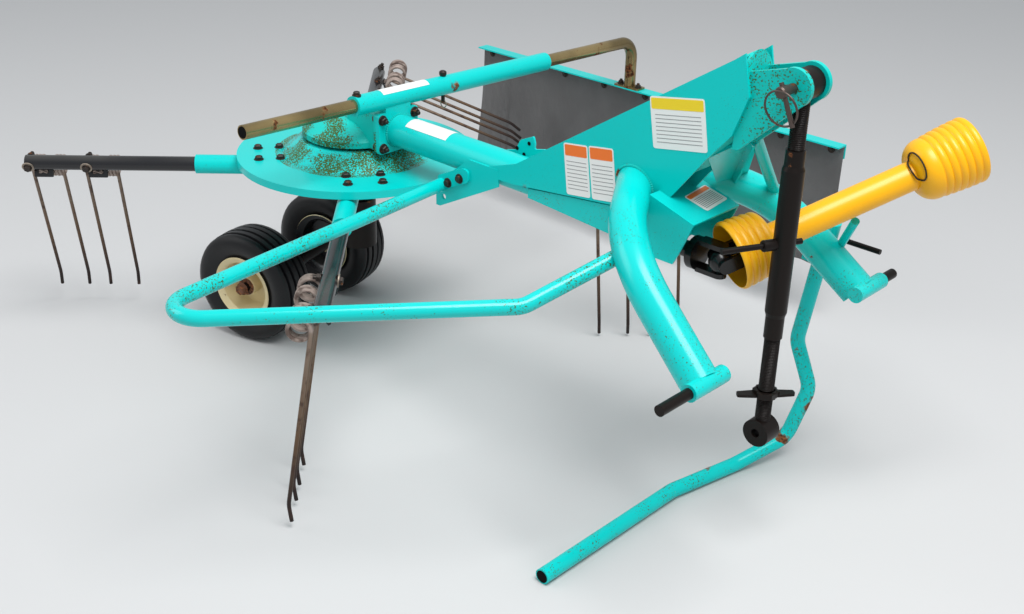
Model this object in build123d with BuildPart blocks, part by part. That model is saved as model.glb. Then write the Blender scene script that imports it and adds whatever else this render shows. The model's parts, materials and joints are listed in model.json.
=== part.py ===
"""Rotary rake: a small tractor-mounted, single-rotor hay rake, parked on its wheels and stand.

Millimetres. +X is forward, towards the tractor; +Y is left, the side that the swath curtain hangs
on; +Z is up. The origin is on the floor, straight under the rotor's axis.
"""
import math
import os

from build123d import *

os.makedirs("parts", exist_ok=True)

# Rotor disc
DISC_TOP = 550.0  # height of the disc's upper face
DISC_R = 302.0
DISC_T = 4.0
DISC_LIP = 19.0
CONE_FOOT_R = 190.0
CONE_TOP_R = 138.0
CONE_H = 40.0
HUB_R = 62.0
HUB_DROP = 85.0  # from the disc's top down to the hub's lower end
RUNNING_FIT = 0.1

# Column: the still post that carries the gearbox and stands on the wheel frame
COLUMN_R = 38.0
COLUMN_FOOT = 300.0

# Gearbox
BOX_GAP = 8.0  # between the turning cone and the still gearbox
BOX_FOOT = DISC_TOP + CONE_H + BOX_GAP
BOX_R = 134.0
BOX_RIM_H = 14.0
BOX_TOP_R = 56.0
BOX_H = 58.0
FLANGE_X = 155.0
FLANGE_T = 20.0
FLANGE_W = 128.0
FLANGE_Z0 = BOX_FOOT - 6
FLANGE_Z1 = BOX_FOOT + 96

# Beam and headstock
BEAM_Z = BOX_FOOT + 45
BEAM_R = 40.0
BEAM_END = 640.0
PLATE_T = 5.0
PLATE_GAP = 80.0  # clear width between the two side plates
TOP_PIN_X = 1275.0
TOP_PIN_Z = 1006.0
TOP_PIN_R = 9.5
LUG_GAP = 52.0
LUG_T = 10.0
LUG_R = 37.0

# Drive
HOOD_X = 1004.0
HOOD_BACK = 6.0
HOOD_HALF = 78.0
HOOD_T = 5.0
HOOD_FOOT = 604.0
PTO_Z = 608.0
PTO_JOINT_X = 1135.0
PTO_YAW = 56.4
PTO_RISE = 21.7
PTO_TUBE_R = 30.5
STUB_R = 17.5
JOINT_R = 25.0  # the universal joint's block
FORK_R = 15.0
FORK_T = 10.0
FORK_BACK = 50.0  # from the joint's centre back to a fork's foot
CORE_R = 17.0
YOKE_TUBE_R = 21.0
PTO_CONE_R = 71.0
INNER_TUBE_R = 27.0

# Lower hitch
HITCH_X = 1319.0
HITCH_Z = 515.0
HITCH_HALF = 341.5
HITCH_PIN_R = 11.0
HITCH_PIN_LEFT = 50.0  # how far each pin stands out of its boss
HITCH_PIN_RIGHT = 86.0
HITCH_BOSS_R = 17.5
HITCH_BOSS_LENGTH = 106.0
HITCH_TUBE_R = 38.0
HITCH_ROOT_X = 939.0  # where the arms leave the side plates
HITCH_ROOT_Z = 728.0

# Arms and tines
ARM_Z = 505.0
ARM_R = 19.0
ARM_ROOT = 225.0
ARM_END = 846.0
SOCKET_R = 24.5
SOCKET_ROOT = DISC_R - 106
SOCKET_END = 412.0
SOCKET_PAD = 84.0  # length of the pad that joins a socket to the disc
FINGER_RADII = (844.0, 766.0, 706.0, 626.0)
WIRE_R = 4.6
COIL_R = 24.0  # to the middle of the wire
COIL_TURNS = 4
COIL_BACK = 40.0
COIL_DOWN = 50.0
LOOP_BACK = -14.0  # the run of wire that is clamped against the arm
LOOP_DOWN = 18.8
TINE_LENGTH = 406.0
TIP_LENGTH = 40.0
TIP_BEND = 16.0
TINE_FLARE = 3.9  # degrees outwards along the arm
# arm name, direction of the arm, roll of its tines at rest (0 hangs straight down)
ARMS = (
    ("front", 45.0, -3.0),
    ("left", 135.0, 66.0),
    ("rear", 225.0, 25.0),
    ("right", 315.0, 9.0),
)

# Wheels and their castor frame
TYRE_R = 154.5
TYRE_W = 125.0
RIM_R = 90.0
WHEEL_HALF = 176.5  # half of the track
TRAIL = 266.5
WHEEL_OFFSET = 56.0  # the pair of wheels stands this far to the left of the castor's middle
CASTOR_YAW = 14.4
TRAIL_ARM_R = 26.0
TRAIL_ARM_Z = 395.0
COLLAR_T = 9.0
COLLAR_TOP = 420.0
AXLE_R = 12.5

# Swath curtain and its boom
BOOM_X = 148.0
BOOM_Z = 722.6
BOOM_YAW = 1.9
BOOM_DROOP = 2.4
BOOM_R = 17.0
BOOM_NEAR = -456.0
BOOM_CORNER = 976.0
SLEEVE_R = 24.5
SLEEVE_NEAR = -130.0
SLEEVE_FAR = 573.0
CURTAIN_X0 = -508.0
CURTAIN_X1 = 847.0
RAIL_TOP = 541.0
RAIL_W = 40.0
RAIL_T = 4.0
CANVAS_FOOT = 180.0
CANVAS_T = 5.0

# Stand and side guard
STAND_R = 17.0
GUARD_R = 16.0


def tube_along(points, bends, radius, wall=0.0):
    """A round tube along straight runs joined by arcs; bends lists one radius for each corner."""
    with BuildPart() as tube:
        with BuildLine() as route:
            if bends:
                FilletPolyline(*points, radius=bends)
            else:
                Line(*points)
        start = Vector(*points[0])
        towards = Vector(*points[1]) - start
        with BuildSketch(Plane(origin=start, z_dir=towards)):
            Circle(radius)
            if wall:
                Circle(radius - wall, mode=Mode.SUBTRACT)
        sweep(path=route.line)
    return tube.part


def polar(radius, angle, z):
    """A point at a radius and an angle round the rotor's axis."""
    a = math.radians(angle)
    return (radius * math.cos(a), radius * math.sin(a), z)


# Rotor disc: flat rim with a turned-down lip, a raised cone and the hub that runs on the column
with BuildPart() as rotor_disc:
    with BuildSketch(Plane.XZ):
        with BuildLine():
            Polyline(
                (COLUMN_R + RUNNING_FIT, DISC_TOP - HUB_DROP),
                (HUB_R, DISC_TOP - HUB_DROP),
                (HUB_R, DISC_TOP + CONE_H - 2 * DISC_T),
                (CONE_TOP_R - 2, DISC_TOP + CONE_H - DISC_T),
                (CONE_FOOT_R - 2, DISC_TOP - DISC_T),
                (DISC_R - DISC_T, DISC_TOP - DISC_T),
                (DISC_R - DISC_T, DISC_TOP - DISC_LIP),
                (DISC_R, DISC_TOP - DISC_LIP),
                (DISC_R, DISC_TOP),
                (CONE_FOOT_R, DISC_TOP),
                (CONE_TOP_R, DISC_TOP + CONE_H),
                (COLUMN_R + RUNNING_FIT, DISC_TOP + CONE_H),
                close=True,
            )
        make_face()
    revolve(axis=Axis.Z)
rotor_disc.part.label = "rotor_disc"

# Arm sockets: four tubes clamped under the disc, which the tine arms turn in
with BuildPart() as arm_sockets:
    for _, heading, _ in ARMS:
        root = Plane(origin=polar(SOCKET_ROOT, heading, ARM_Z), z_dir=polar(1, heading, 0))
        with BuildSketch(root):
            Circle(SOCKET_R)
            Circle(ARM_R + RUNNING_FIT, mode=Mode.SUBTRACT)
        extrude(amount=SOCKET_END - SOCKET_ROOT)
        pad = Plane(
            origin=polar(SOCKET_ROOT + SOCKET_PAD / 2, heading, ARM_Z + SOCKET_R - 3),
            x_dir=polar(1, heading, 0),
            z_dir=(0, 0, 1),
        )
        with BuildSketch(pad):
            Rectangle(SOCKET_PAD, 118)
        extrude(amount=DISC_TOP - DISC_T - ARM_Z - SOCKET_R + 3)
arm_sockets.part.label = "arm_sockets"

# Column and gearbox
with BuildPart() as column:
    with BuildSketch(Plane.XY.offset(COLUMN_FOOT)):
        Circle(COLUMN_R)
    extrude(amount=BOX_FOOT - COLUMN_FOOT)
column.part.label = "column"

with BuildPart() as gearbox:
    with BuildSketch(Plane.XZ):
        with BuildLine():
            Line((0, BOX_FOOT), (BOX_R, BOX_FOOT))
            Line((BOX_R, BOX_FOOT), (BOX_R, BOX_FOOT + BOX_RIM_H))
            RadiusArc((BOX_R, BOX_FOOT + BOX_RIM_H), (BOX_TOP_R, BOX_FOOT + BOX_H), -110)
            Line((BOX_TOP_R, BOX_FOOT + BOX_H), (0, BOX_FOOT + BOX_H))
            Line((0, BOX_FOOT + BOX_H), (0, BOX_FOOT))
        make_face()
    revolve(axis=Axis.Z)
    with BuildSketch(Plane.YZ.offset(40)):
        with Locations((0, (BOX_FOOT + FLANGE_Z1 - 6) / 2)):
            Rectangle(FLANGE_W - 14, FLANGE_Z1 - 6 - BOX_FOOT)
    extrude(amount=FLANGE_X - 40)
    with BuildSketch(Plane.YZ.offset(FLANGE_X - 8)):
        with Locations((0, (FLANGE_Z0 + FLANGE_Z1) / 2)):
            RectangleRounded(FLANGE_W, FLANGE_Z1 - FLANGE_Z0, 8)
    extrude(amount=8)
gearbox.part.label = "gearbox"

# Main beam: a square flange on a round tube
with BuildPart() as main_beam:
    with BuildSketch(Plane.YZ.offset(FLANGE_X)):
        with Locations((0, (FLANGE_Z0 + FLANGE_Z1) / 2)):
            RectangleRounded(FLANGE_W, FLANGE_Z1 - FLANGE_Z0, 8)
    extrude(amount=FLANGE_T - 8)
    with BuildSketch(Plane.YZ.offset(FLANGE_X)):
        with Locations((0, BEAM_Z)):
            Circle(BEAM_R)
    extrude(amount=BEAM_END - FLANGE_X)
main_beam.part.label = "main_beam"

# Headstock: two side plates
PLATE_OUTLINE = (
    (520, BEAM_Z - 12),
    (520, BEAM_Z + 12),
    (606, 684),
    (1151, 1034),
    (1173, 1050),
    (1190, 970),
    (1160, 888),
    (1110, 830),
    (1028, 724),
    (979, 693),
    (888, 668),
    (601, 634),
)


def side_plate(inner_y, name):
    """One flat side plate, standing on its inner face and growing away from the beam."""
    with BuildPart() as plate:
        with BuildSketch(Plane.XZ.offset(-inner_y)):
            with BuildLine():
                Polyline(*PLATE_OUTLINE, close=True)
            make_face()
        extrude(amount=-PLATE_T if inner_y > 0 else PLATE_T)
    plate.part.label = name
    return plate.part


headstock_left = side_plate(PLATE_GAP / 2, "headstock_left")
headstock_right = side_plate(-PLATE_GAP / 2, "headstock_right")

# Top cover of the headstock: one strip along the plates' upper edges and down their front ones
with BuildPart() as headstock_cover:
    with BuildSketch(Plane.XZ.offset(-PLATE_GAP / 2)):
        with BuildLine():
            Polyline(
                (646, 709),
                (1151, 1034),
                (1173, 1050),
                (1190, 970),
                (1160, 888),
                (1110, 830),
                (1082, 794),
                (1077, 798),
                (1105, 834),
                (1154, 891),
                (1184, 970),
                (1168, 1041),
                (1154, 1028),
                (649, 704),
                close=True,
            )
        make_face()
    extrude(amount=PLATE_GAP)
    # the top of the front face is rounded
    with BuildSketch(Plane.YZ.offset(1156)):
        with Locations((0, 1050)):
            Rectangle(PLATE_GAP + 2, 80)
        with Locations((0, 1010)):
            Circle(PLATE_GAP / 2, mode=Mode.SUBTRACT)
            Rectangle(PLATE_GAP + 4, 1, mode=Mode.SUBTRACT)
    extrude(amount=60, mode=Mode.SUBTRACT)
headstock_cover.part.label = "headstock_cover"

# Top link lugs, welded to the front strip
with BuildPart() as top_link_lugs:
    for side in (-1, 1):
        inner = side * LUG_GAP / 2
        with BuildSketch(Plane.XZ.offset(-inner)):
            with BuildLine():
                Polyline(
                    (1180.2, 1016),
                    (1190, 970),
                    (1160, 888),
                    (1158, 860),
                    (1172, 862),
                    (1200, 888),
                    (1298, 978),
                    (TOP_PIN_X, TOP_PIN_Z + LUG_R),
                    close=True,
                )
            make_face()
            with Locations((TOP_PIN_X, TOP_PIN_Z)):
                Circle(LUG_R)
                Circle(TOP_PIN_R + RUNNING_FIT, mode=Mode.SUBTRACT)
        extrude(amount=-LUG_T if side > 0 else LUG_T)
    add(headstock_cover.part, mode=Mode.SUBTRACT)
top_link_lugs.part.label = "top_link_lugs"

# Top link pin
with BuildPart() as top_link_pin:
    with BuildSketch(Plane.XZ.offset(LUG_GAP / 2 + LUG_T + 22)):
        with Locations((TOP_PIN_X, TOP_PIN_Z)):
            Circle(TOP_PIN_R)
    extrude(amount=-(LUG_GAP + 2 * LUG_T + 44))
top_link_pin.part.label = "top_link_pin"

# Top link, hanging from its pin
LINK_FOOT_Z = 271.0
BARREL_FOOT = 488.0
BARREL_TOP = 882.0
BARREL_R = 22.0
BARREL_NECK_R = 19.0
BAR_Z = 691.0  # the bar that the barrel is turned by
BAR_R = 6.0
BAR_HEADING = 63.5
BAR_NEAR = 136.0
BAR_FAR = 38.0
LINK_ROD_R = 15.0
EYE_R = 30.0
with BuildPart() as link_upper_eye:
    with BuildSketch(Plane.XZ.offset(-25)):
        with Locations((TOP_PIN_X, TOP_PIN_Z)):
            Circle(EYE_R)
            Circle(TOP_PIN_R + RUNNING_FIT, mode=Mode.SUBTRACT)
    extrude(amount=50)
    with BuildSketch(Plane.XY.offset(BARREL_TOP)):
        with Locations((TOP_PIN_X, 0)):
            Circle(LINK_ROD_R)
    extrude(until=Until.NEXT)
link_upper_eye.part.label = "link_upper_eye"

with BuildPart() as link_barrel:
    with BuildSketch(Plane.XZ):
        with BuildLine():
            Polyline(
                (TOP_PIN_X, BARREL_TOP),
                (TOP_PIN_X + BARREL_NECK_R, BARREL_TOP),
                (TOP_PIN_X + BARREL_NECK_R, BARREL_TOP - 32),
                (TOP_PIN_X + BARREL_R, BARREL_TOP - 40),
                (TOP_PIN_X + BARREL_R, BARREL_FOOT + 57),
                (TOP_PIN_X + BARREL_NECK_R, BARREL_FOOT + 47),
                (TOP_PIN_X + BARREL_NECK_R, BARREL_FOOT),
                (TOP_PIN_X, BARREL_FOOT),
                close=True,
            )
        make_face()
    revolve(axis=Axis((TOP_PIN_X, 0, 0), (0, 0, 1)))
    turning_bar = Vector(math.cos(math.radians(BAR_HEADING)), math.sin(math.radians(BAR_HEADING)), 0)
    with BuildSketch(Plane(origin=Vector(TOP_PIN_X, 0, BAR_Z) - BAR_NEAR * turning_bar, z_dir=turning_bar)):
        Circle(BAR_R)
    extrude(amount=BAR_NEAR + BAR_FAR)
link_barrel.part.label = "link_barrel"

with BuildPart() as link_lower_eye:
    with BuildSketch(Plane.XY.offset(LINK_FOOT_Z + 20)):
        with Locations((TOP_PIN_X, 0)):
            Circle(LINK_ROD_R)
    extrude(amount=BARREL_FOOT - LINK_FOOT_Z - 20)
    with BuildSketch(Plane.XZ.offset(-22)):
        with Locations((TOP_PIN_X, LINK_FOOT_Z)):
            Circle(EYE_R)
            Circle(TOP_PIN_R + RUNNING_FIT, mode=Mode.SUBTRACT)
    extrude(amount=44)
    with BuildSketch(Plane.XY.offset(352)):
        with Locations((TOP_PIN_X, 0)):
            RegularPolygon(24, 6)
    extrude(amount=16)
link_lower_eye.part.label = "link_lower_eye"

# Lower hitch arms: bent tubes with a boss across their lower ends; the left one carries the rod that
# the resting drive shaft lies on
HOOK_R = 9.0
HOOK_ROUTE = [(1233, 296, 573), (1290, 245, 671)]
STAY_R = 12.0  # the round stay from the left plate's front edge out to the left arm
STAY_ROUTE = [(1166, 26, 879), (1101, 238, 678)]
# Gusset: a flat plate from the headstock's front edges and left lug down to the left arm's root
GUSSET_T = 6.0
GUSSET_FACE = Plane(origin=(1110, -40, 830), x_dir=(-0.54, 0.56, -0.63), z_dir=(0.716, -0.145, -0.682))
GUSSET = [(1110, -40, 830), (1154, 26, 868), (1164, 50, 868), (1052, 194, 723), (1040, 108, 716)]
with BuildPart() as gusset:
    with BuildSketch(GUSSET_FACE):
        with BuildLine():
            corners = [GUSSET_FACE.to_local_coords(Vector(*corner)) for corner in GUSSET]
            Polyline(*[(corner.X, corner.Y) for corner in corners], close=True)
        make_face()
    extrude(amount=-GUSSET_T)
    # a rib along its outer edge
    rib_foot = Vector(1046, 151, 724)
    rib_run = Vector(1156, 31, 862) - rib_foot
    with BuildSketch(Plane(origin=rib_foot, x_dir=GUSSET_FACE.z_dir, z_dir=rib_run)):
        Rectangle(30, 6)
    extrude(amount=rib_run.length)
hitch_arms = {}
for side, name in ((-1, "right"), (1, "left")):
    route = [
        (HITCH_ROOT_X - 32, -side * 5, HITCH_ROOT_Z + 9),
        (HITCH_ROOT_X + 127, side * 241, HITCH_ROOT_Z - 34),
        (HITCH_X - 19, side * (HITCH_HALF - 60.5), HITCH_Z - 9.5),
    ]
    arm = tube_along(route, [276], HITCH_TUBE_R)
    with BuildPart() as hitch_arm:
        add(arm)
        # what lies between the outer faces of the side plates is cut away
        with BuildSketch(Plane.XZ.offset(-PLATE_GAP / 2 - PLATE_T)):
            with Locations((HITCH_ROOT_X + 100, HITCH_ROOT_Z)):
                Rectangle(440, 360)
        extrude(amount=PLATE_GAP + 2 * PLATE_T, mode=Mode.SUBTRACT)
        with BuildSketch(Plane.XZ.offset(-side * (HITCH_HALF - HITCH_BOSS_LENGTH))):
            with Locations((HITCH_X, HITCH_Z)):
                Circle(HITCH_BOSS_R)
        extrude(amount=-side * HITCH_BOSS_LENGTH)
        if name == "left":
            add(tube_along(HOOK_ROUTE, [], HOOK_R))
            add(tube_along(STAY_ROUTE, [], STAY_R))
            # the stay's end is cut flat on the lug
            with BuildSketch(Plane.XZ):
                with Locations((STAY_ROUTE[0][0], STAY_ROUTE[0][2])):
                    Circle(40)
            extrude(amount=-LUG_GAP / 2 - LUG_T, mode=Mode.SUBTRACT)
            add(gusset.part)
            for neighbour in (headstock_left, headstock_right, headstock_cover.part, top_link_lugs.part):
                add(neighbour, mode=Mode.SUBTRACT)
    hitch_arm.part.label = "hitch_arm_" + name
    hitch_arms[name] = hitch_arm.part
    export_step(hitch_arm.part, "parts/hitch_arm_" + name + ".step")
    with BuildPart() as hitch_pin:
        with BuildSketch(Plane.XZ.offset(-side * HITCH_HALF)):
            with Locations((HITCH_X, HITCH_Z)):
                Circle(HITCH_PIN_R)
        extrude(amount=-side * (HITCH_PIN_LEFT if name == "left" else HITCH_PIN_RIGHT))
    hitch_pin.part.label = "hitch_pin_" + name
    export_step(hitch_pin.part, "parts/hitch_pin_" + name + ".step")

# Shaft trough and the hood over the drive's end
with BuildPart() as shaft_trough:
    with BuildSketch(Plane.XZ.offset(-PLATE_GAP / 2)):
        with BuildLine():
            Polyline(
                (BEAM_END, BEAM_Z - 9),
                (888, 664),
                (979, 690),
                (HOOD_X, 698),
                (HOOD_X, PTO_Z - STUB_R),
                (880, PTO_Z - 10),
                (BEAM_END, BEAM_Z - 31),
                close=True,
            )
        make_face()
    extrude(amount=PLATE_GAP)
shaft_trough.part.label = "shaft_trough"

with BuildPart() as drive_hood:
    with BuildSketch(Plane.XZ.offset(-HOOD_HALF)):
        with BuildLine():
            Polyline(
                (HOOD_X, HOOD_FOOT),
                (HOOD_X, 735),
                (1045, 723),
                (1116, 702),
                (1101, 667),
                (1083, 626),
                (1072, HOOD_FOOT),
                close=True,
            )
        make_face()
    extrude(amount=2 * HOOD_HALF)
    with BuildSketch(Plane.XZ.offset(-HOOD_HALF + HOOD_T)):
        with BuildLine():
            Polyline(
                (HOOD_X + HOOD_BACK, HOOD_FOOT - 10),
                (HOOD_X + HOOD_BACK, 735 - HOOD_T - 2),
                (1044, 723 - HOOD_T),
                (1140, 694.6 - HOOD_T),
                (1140, HOOD_FOOT - 10),
                close=True,
            )
        make_face()
    extrude(amount=2 * (HOOD_HALF - HOOD_T), mode=Mode.SUBTRACT)
    with BuildSketch(Plane.YZ.offset(HOOD_X)):
        with Locations((0, PTO_Z)):
            Circle(STUB_R + RUNNING_FIT)
    extrude(amount=HOOD_BACK, mode=Mode.SUBTRACT)
    for side in ("left", "right"):
        add(hitch_arms[side], mode=Mode.SUBTRACT)
    add(headstock_left, mode=Mode.SUBTRACT)
    add(headstock_right, mode=Mode.SUBTRACT)
drive_hood.part.label = "drive_hood"

# Drive shaft: stub and yoke on the rake, then the guarded telescopic shaft
with BuildPart() as drive_stub:
    with BuildSketch(Plane.YZ.offset(HOOD_X)):
        with Locations((0, PTO_Z)):
            Circle(STUB_R)
    extrude(amount=PTO_JOINT_X - FORK_BACK - HOOD_X)
    with BuildSketch(Plane.YZ.offset(PTO_JOINT_X - FORK_BACK - 16)):
        with Locations((0, PTO_Z)):
            Circle(JOINT_R + FORK_T)
    extrude(amount=16)
    for side in (-1, 1):
        with BuildSketch(Plane.XY.offset(PTO_Z + side * JOINT_R)):
            with Locations((PTO_JOINT_X, 0)):
                Circle(FORK_R)
            with Locations((PTO_JOINT_X - FORK_BACK / 2, 0)):
                Rectangle(FORK_BACK, 2 * FORK_R)
        extrude(amount=side * FORK_T)
    with Locations((PTO_JOINT_X, 0, PTO_Z)):
        Sphere(JOINT_R)
        Cylinder(9, 2 * JOINT_R + 2)
drive_stub.part.label = "drive_stub"

a, e = math.radians(PTO_YAW), math.radians(PTO_RISE)
PTO_DIR = (math.cos(e) * math.cos(a), math.cos(e) * math.sin(a), math.sin(e))
LIFT_AXIS = (math.sin(a), -math.cos(a), 0)
BELL_END = 103.0  # distances along the drive shaft, from the universal joint's centre
TUBE_START = 112.0
OUTER_BELL = 424.0
BORE_START = 480.0
SHAFT_END = 560.0


def shaft_plane(distance):
    """A plane square to the drive shaft, at a distance from the universal joint's centre."""
    origin = [c + distance * d for c, d in zip((PTO_JOINT_X, 0, PTO_Z), PTO_DIR)]
    return Plane(origin=origin, z_dir=PTO_DIR)


def bell(outline, hole):
    """A moulded bell with stepped ribs: radius and distance of its outer side, from open to closed end."""
    inside = [(radius - 4, distance) for radius, distance in outline[:-1]]
    closed = outline[-1][1]
    step = 4 if closed > outline[0][1] else -4
    inside.append((outline[-1][0] - 6, closed - step))
    with BuildPart() as shell:
        with BuildSketch(Plane.XZ):
            with BuildLine():
                Polyline(*outline, (hole, closed), (hole, closed - step), *reversed(inside), close=True)
            make_face()
        revolve(axis=Axis.Z)
    return shaft_plane(0).location * shell.part


RIB = PTO_CONE_R - 4
with BuildPart() as shaft_inner_guard:
    add(bell([(PTO_CONE_R, 21), (PTO_CONE_R, 34), (RIB, 37), (RIB, 43), (PTO_CONE_R, 46), (PTO_CONE_R, 58),
              (RIB, 62), (65, 76), (60, 80), (57, 91), (50, 95), (40, BELL_END + 4)], CORE_R + RUNNING_FIT))
    with BuildSketch(shaft_plane(BELL_END + 4)):
        Circle(INNER_TUBE_R)
        Circle(INNER_TUBE_R - 5, mode=Mode.SUBTRACT)
    extrude(amount=219)
shaft_inner_guard.part.label = "shaft_inner_guard"

# The shaft's near half: a fork whose two cheeks hold the joint's block, and the inner shaft
with BuildPart() as shaft_core:
    with BuildSketch(shaft_plane(FORK_BACK)):
        Circle(CORE_R)
    extrude(amount=294 - FORK_BACK)
    with BuildSketch(Plane(origin=shaft_plane(FORK_BACK - 2).origin, x_dir=LIFT_AXIS, z_dir=PTO_DIR)):
        Rectangle(2 * (JOINT_R + FORK_T), 2 * FORK_R)
    extrude(amount=14)
    for side in (-1, 1):
        cheek = Plane(
            origin=[c + side * (JOINT_R + 0.3) * v for c, v in zip((PTO_JOINT_X, 0, PTO_Z), LIFT_AXIS)],
            x_dir=PTO_DIR,
            z_dir=[side * v for v in LIFT_AXIS],
        )
        with BuildSketch(cheek):
            Circle(FORK_R)
            with Locations((FORK_BACK / 2, 0)):
                Rectangle(FORK_BACK, 2 * FORK_R)
        extrude(amount=FORK_T)
shaft_core.part.label = "shaft_core"

with BuildPart() as shaft_outer_guard:
    with BuildSketch(shaft_plane(TUBE_START)):
        Circle(PTO_TUBE_R)
        Circle(PTO_TUBE_R - 3, mode=Mode.SUBTRACT)
    extrude(amount=OUTER_BELL - TUBE_START)
    add(bell([(PTO_CONE_R, 565), (PTO_CONE_R, 532), (RIB, 528), (RIB, 522), (PTO_CONE_R, 518), (PTO_CONE_R, 498),
              (RIB, 494), (RIB, 474), (62, 470), (60, 455), (52, 451), (48, 438), (42, OUTER_BELL)],
             YOKE_TUBE_R + RUNNING_FIT))
shaft_outer_guard.part.label = "shaft_outer_guard"

with BuildPart() as tractor_yoke:
    with BuildSketch(shaft_plane(130)):
        Circle(YOKE_TUBE_R)
    extrude(amount=BORE_START - 130)
    with BuildSketch(shaft_plane(130)):
        Circle(CORE_R + RUNNING_FIT)
    extrude(amount=170, mode=Mode.SUBTRACT)
    with BuildSketch(shaft_plane(BORE_START - 10)):
        Circle(34)
    extrude(amount=SHAFT_END - BORE_START + 10)
    with BuildSketch(shaft_plane(BORE_START)):
        Circle(STUB_R)
    extrude(amount=SHAFT_END - BORE_START, mode=Mode.SUBTRACT)
tractor_yoke.part.label = "tractor_yoke"

# Tine arms and their double tines, each pair rolled about the arm's own axis
for arm_name, heading, roll in ARMS:
    along = polar(1, heading, 0)
    with BuildPart() as tine_arm:
        with BuildSketch(Plane(origin=polar(ARM_ROOT, heading, ARM_Z), z_dir=along)):
            Circle(ARM_R)
        extrude(amount=ARM_END - ARM_ROOT)
    tine_arm.part.label = "tine_arm_" + arm_name
    export_step(tine_arm.part, "parts/tine_arm_" + arm_name + ".step")

    # the rolled frame: x out along the arm, y the way the tines trail, z up
    r = math.radians(roll)
    trail = (math.sin(math.radians(heading)), -math.cos(math.radians(heading)), 0)
    back = tuple(t * math.cos(r) + s * math.sin(r) for t, s in zip(trail, (0, 0, 1)))
    up = tuple(-t * math.sin(r) + s * math.cos(r) for t, s in zip(trail, (0, 0, 1)))

    def rolled(out, behind, below):
        """A point of the rolled frame: out along the arm, behind it and below it."""
        centre = polar(out, heading, ARM_Z)
        return tuple(c + behind * b - below * u for c, b, u in zip(centre, back, up))

    flare = math.tan(math.radians(TINE_FLARE))
    knee_below = COIL_DOWN + TINE_LENGTH
    tip_behind = COIL_BACK - COIL_R - TIP_LENGTH * math.sin(math.radians(TIP_BEND))
    tip_below = knee_below + TIP_LENGTH * math.cos(math.radians(TIP_BEND))
    with BuildPart() as tines:
        for i in range(0, len(FINGER_RADII), 2):
            outer, inner = FINGER_RADII[i], FINGER_RADII[i + 1]
            wires = []
            for finger, towards in ((outer, -1), (inner, 1)):
                knee = rolled(finger + TINE_LENGTH * flare, COIL_BACK - COIL_R, knee_below)
                tip = rolled(finger + (TINE_LENGTH + TIP_LENGTH) * flare, tip_behind, tip_below)
                start = rolled(finger, COIL_BACK - COIL_R, COIL_DOWN)
                wires.append(tube_along([start, knee, tip], [20], WIRE_R))
                for turn in range(COIL_TURNS):
                    place = rolled(finger + towards * turn * 2 * WIRE_R, COIL_BACK, COIL_DOWN)
                    ring = Plane(origin=place, z_dir=along)
                    wires.append(ring.location * Torus(COIL_R, WIRE_R + 0.2, mode=Mode.PRIVATE))
            add(wires)
            first = inner + (COIL_TURNS - 1) * 2 * WIRE_R
            last = outer - (COIL_TURNS - 1) * 2 * WIRE_R
            loop = [
                rolled(first, COIL_BACK - COIL_R, COIL_DOWN),
                rolled(first, LOOP_BACK, LOOP_DOWN),
                rolled(last, LOOP_BACK, LOOP_DOWN),
                rolled(last, COIL_BACK - COIL_R, COIL_DOWN),
            ]
            add(tube_along(loop, [8, 8], WIRE_R - 0.4))
    tines.part.label = "tines_" + arm_name
    export_step(tines.part, "parts/tines_" + arm_name + ".step")

# Castor frame: a collar on the column's foot, a trailing arm and a cross axle with its two stubs
yaw = math.radians(CASTOR_YAW)
axle_dir = (-math.sin(yaw), math.cos(yaw), 0)
axle_mid = (
    -TRAIL * math.cos(yaw) + WHEEL_OFFSET * axle_dir[0],
    -TRAIL * math.sin(yaw) + WHEEL_OFFSET * axle_dir[1],
    TYRE_R,
)
INNER_HALF = WHEEL_HALF - TYRE_W / 2 - 6
STUB_HALF = WHEEL_HALF + 52
with BuildPart() as castor_frame:
    with BuildSketch(Plane.XY.offset(COLUMN_FOOT - 10)):
        Circle(COLUMN_R + COLLAR_T)
    extrude(amount=10)
    with BuildSketch(Plane.XY.offset(COLUMN_FOOT)):
        Circle(COLUMN_R + COLLAR_T)
    extrude(amount=COLLAR_TOP - COLUMN_FOOT)
    add(tube_along([(0, 0, TRAIL_ARM_Z - 35), axle_mid], [], TRAIL_ARM_R))
    for half, radius in ((INNER_HALF, 26), (STUB_HALF, AXLE_R)):
        start = [m - half * d for m, d in zip(axle_mid, axle_dir)]
        with BuildSketch(Plane(origin=start, z_dir=axle_dir)):
            Circle(radius)
        extrude(amount=2 * half)
    with BuildSketch(Plane.XY.offset(COLUMN_FOOT)):
        Circle(COLUMN_R + RUNNING_FIT)
    extrude(amount=200, mode=Mode.SUBTRACT)
castor_frame.part.label = "castor_frame"

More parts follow.
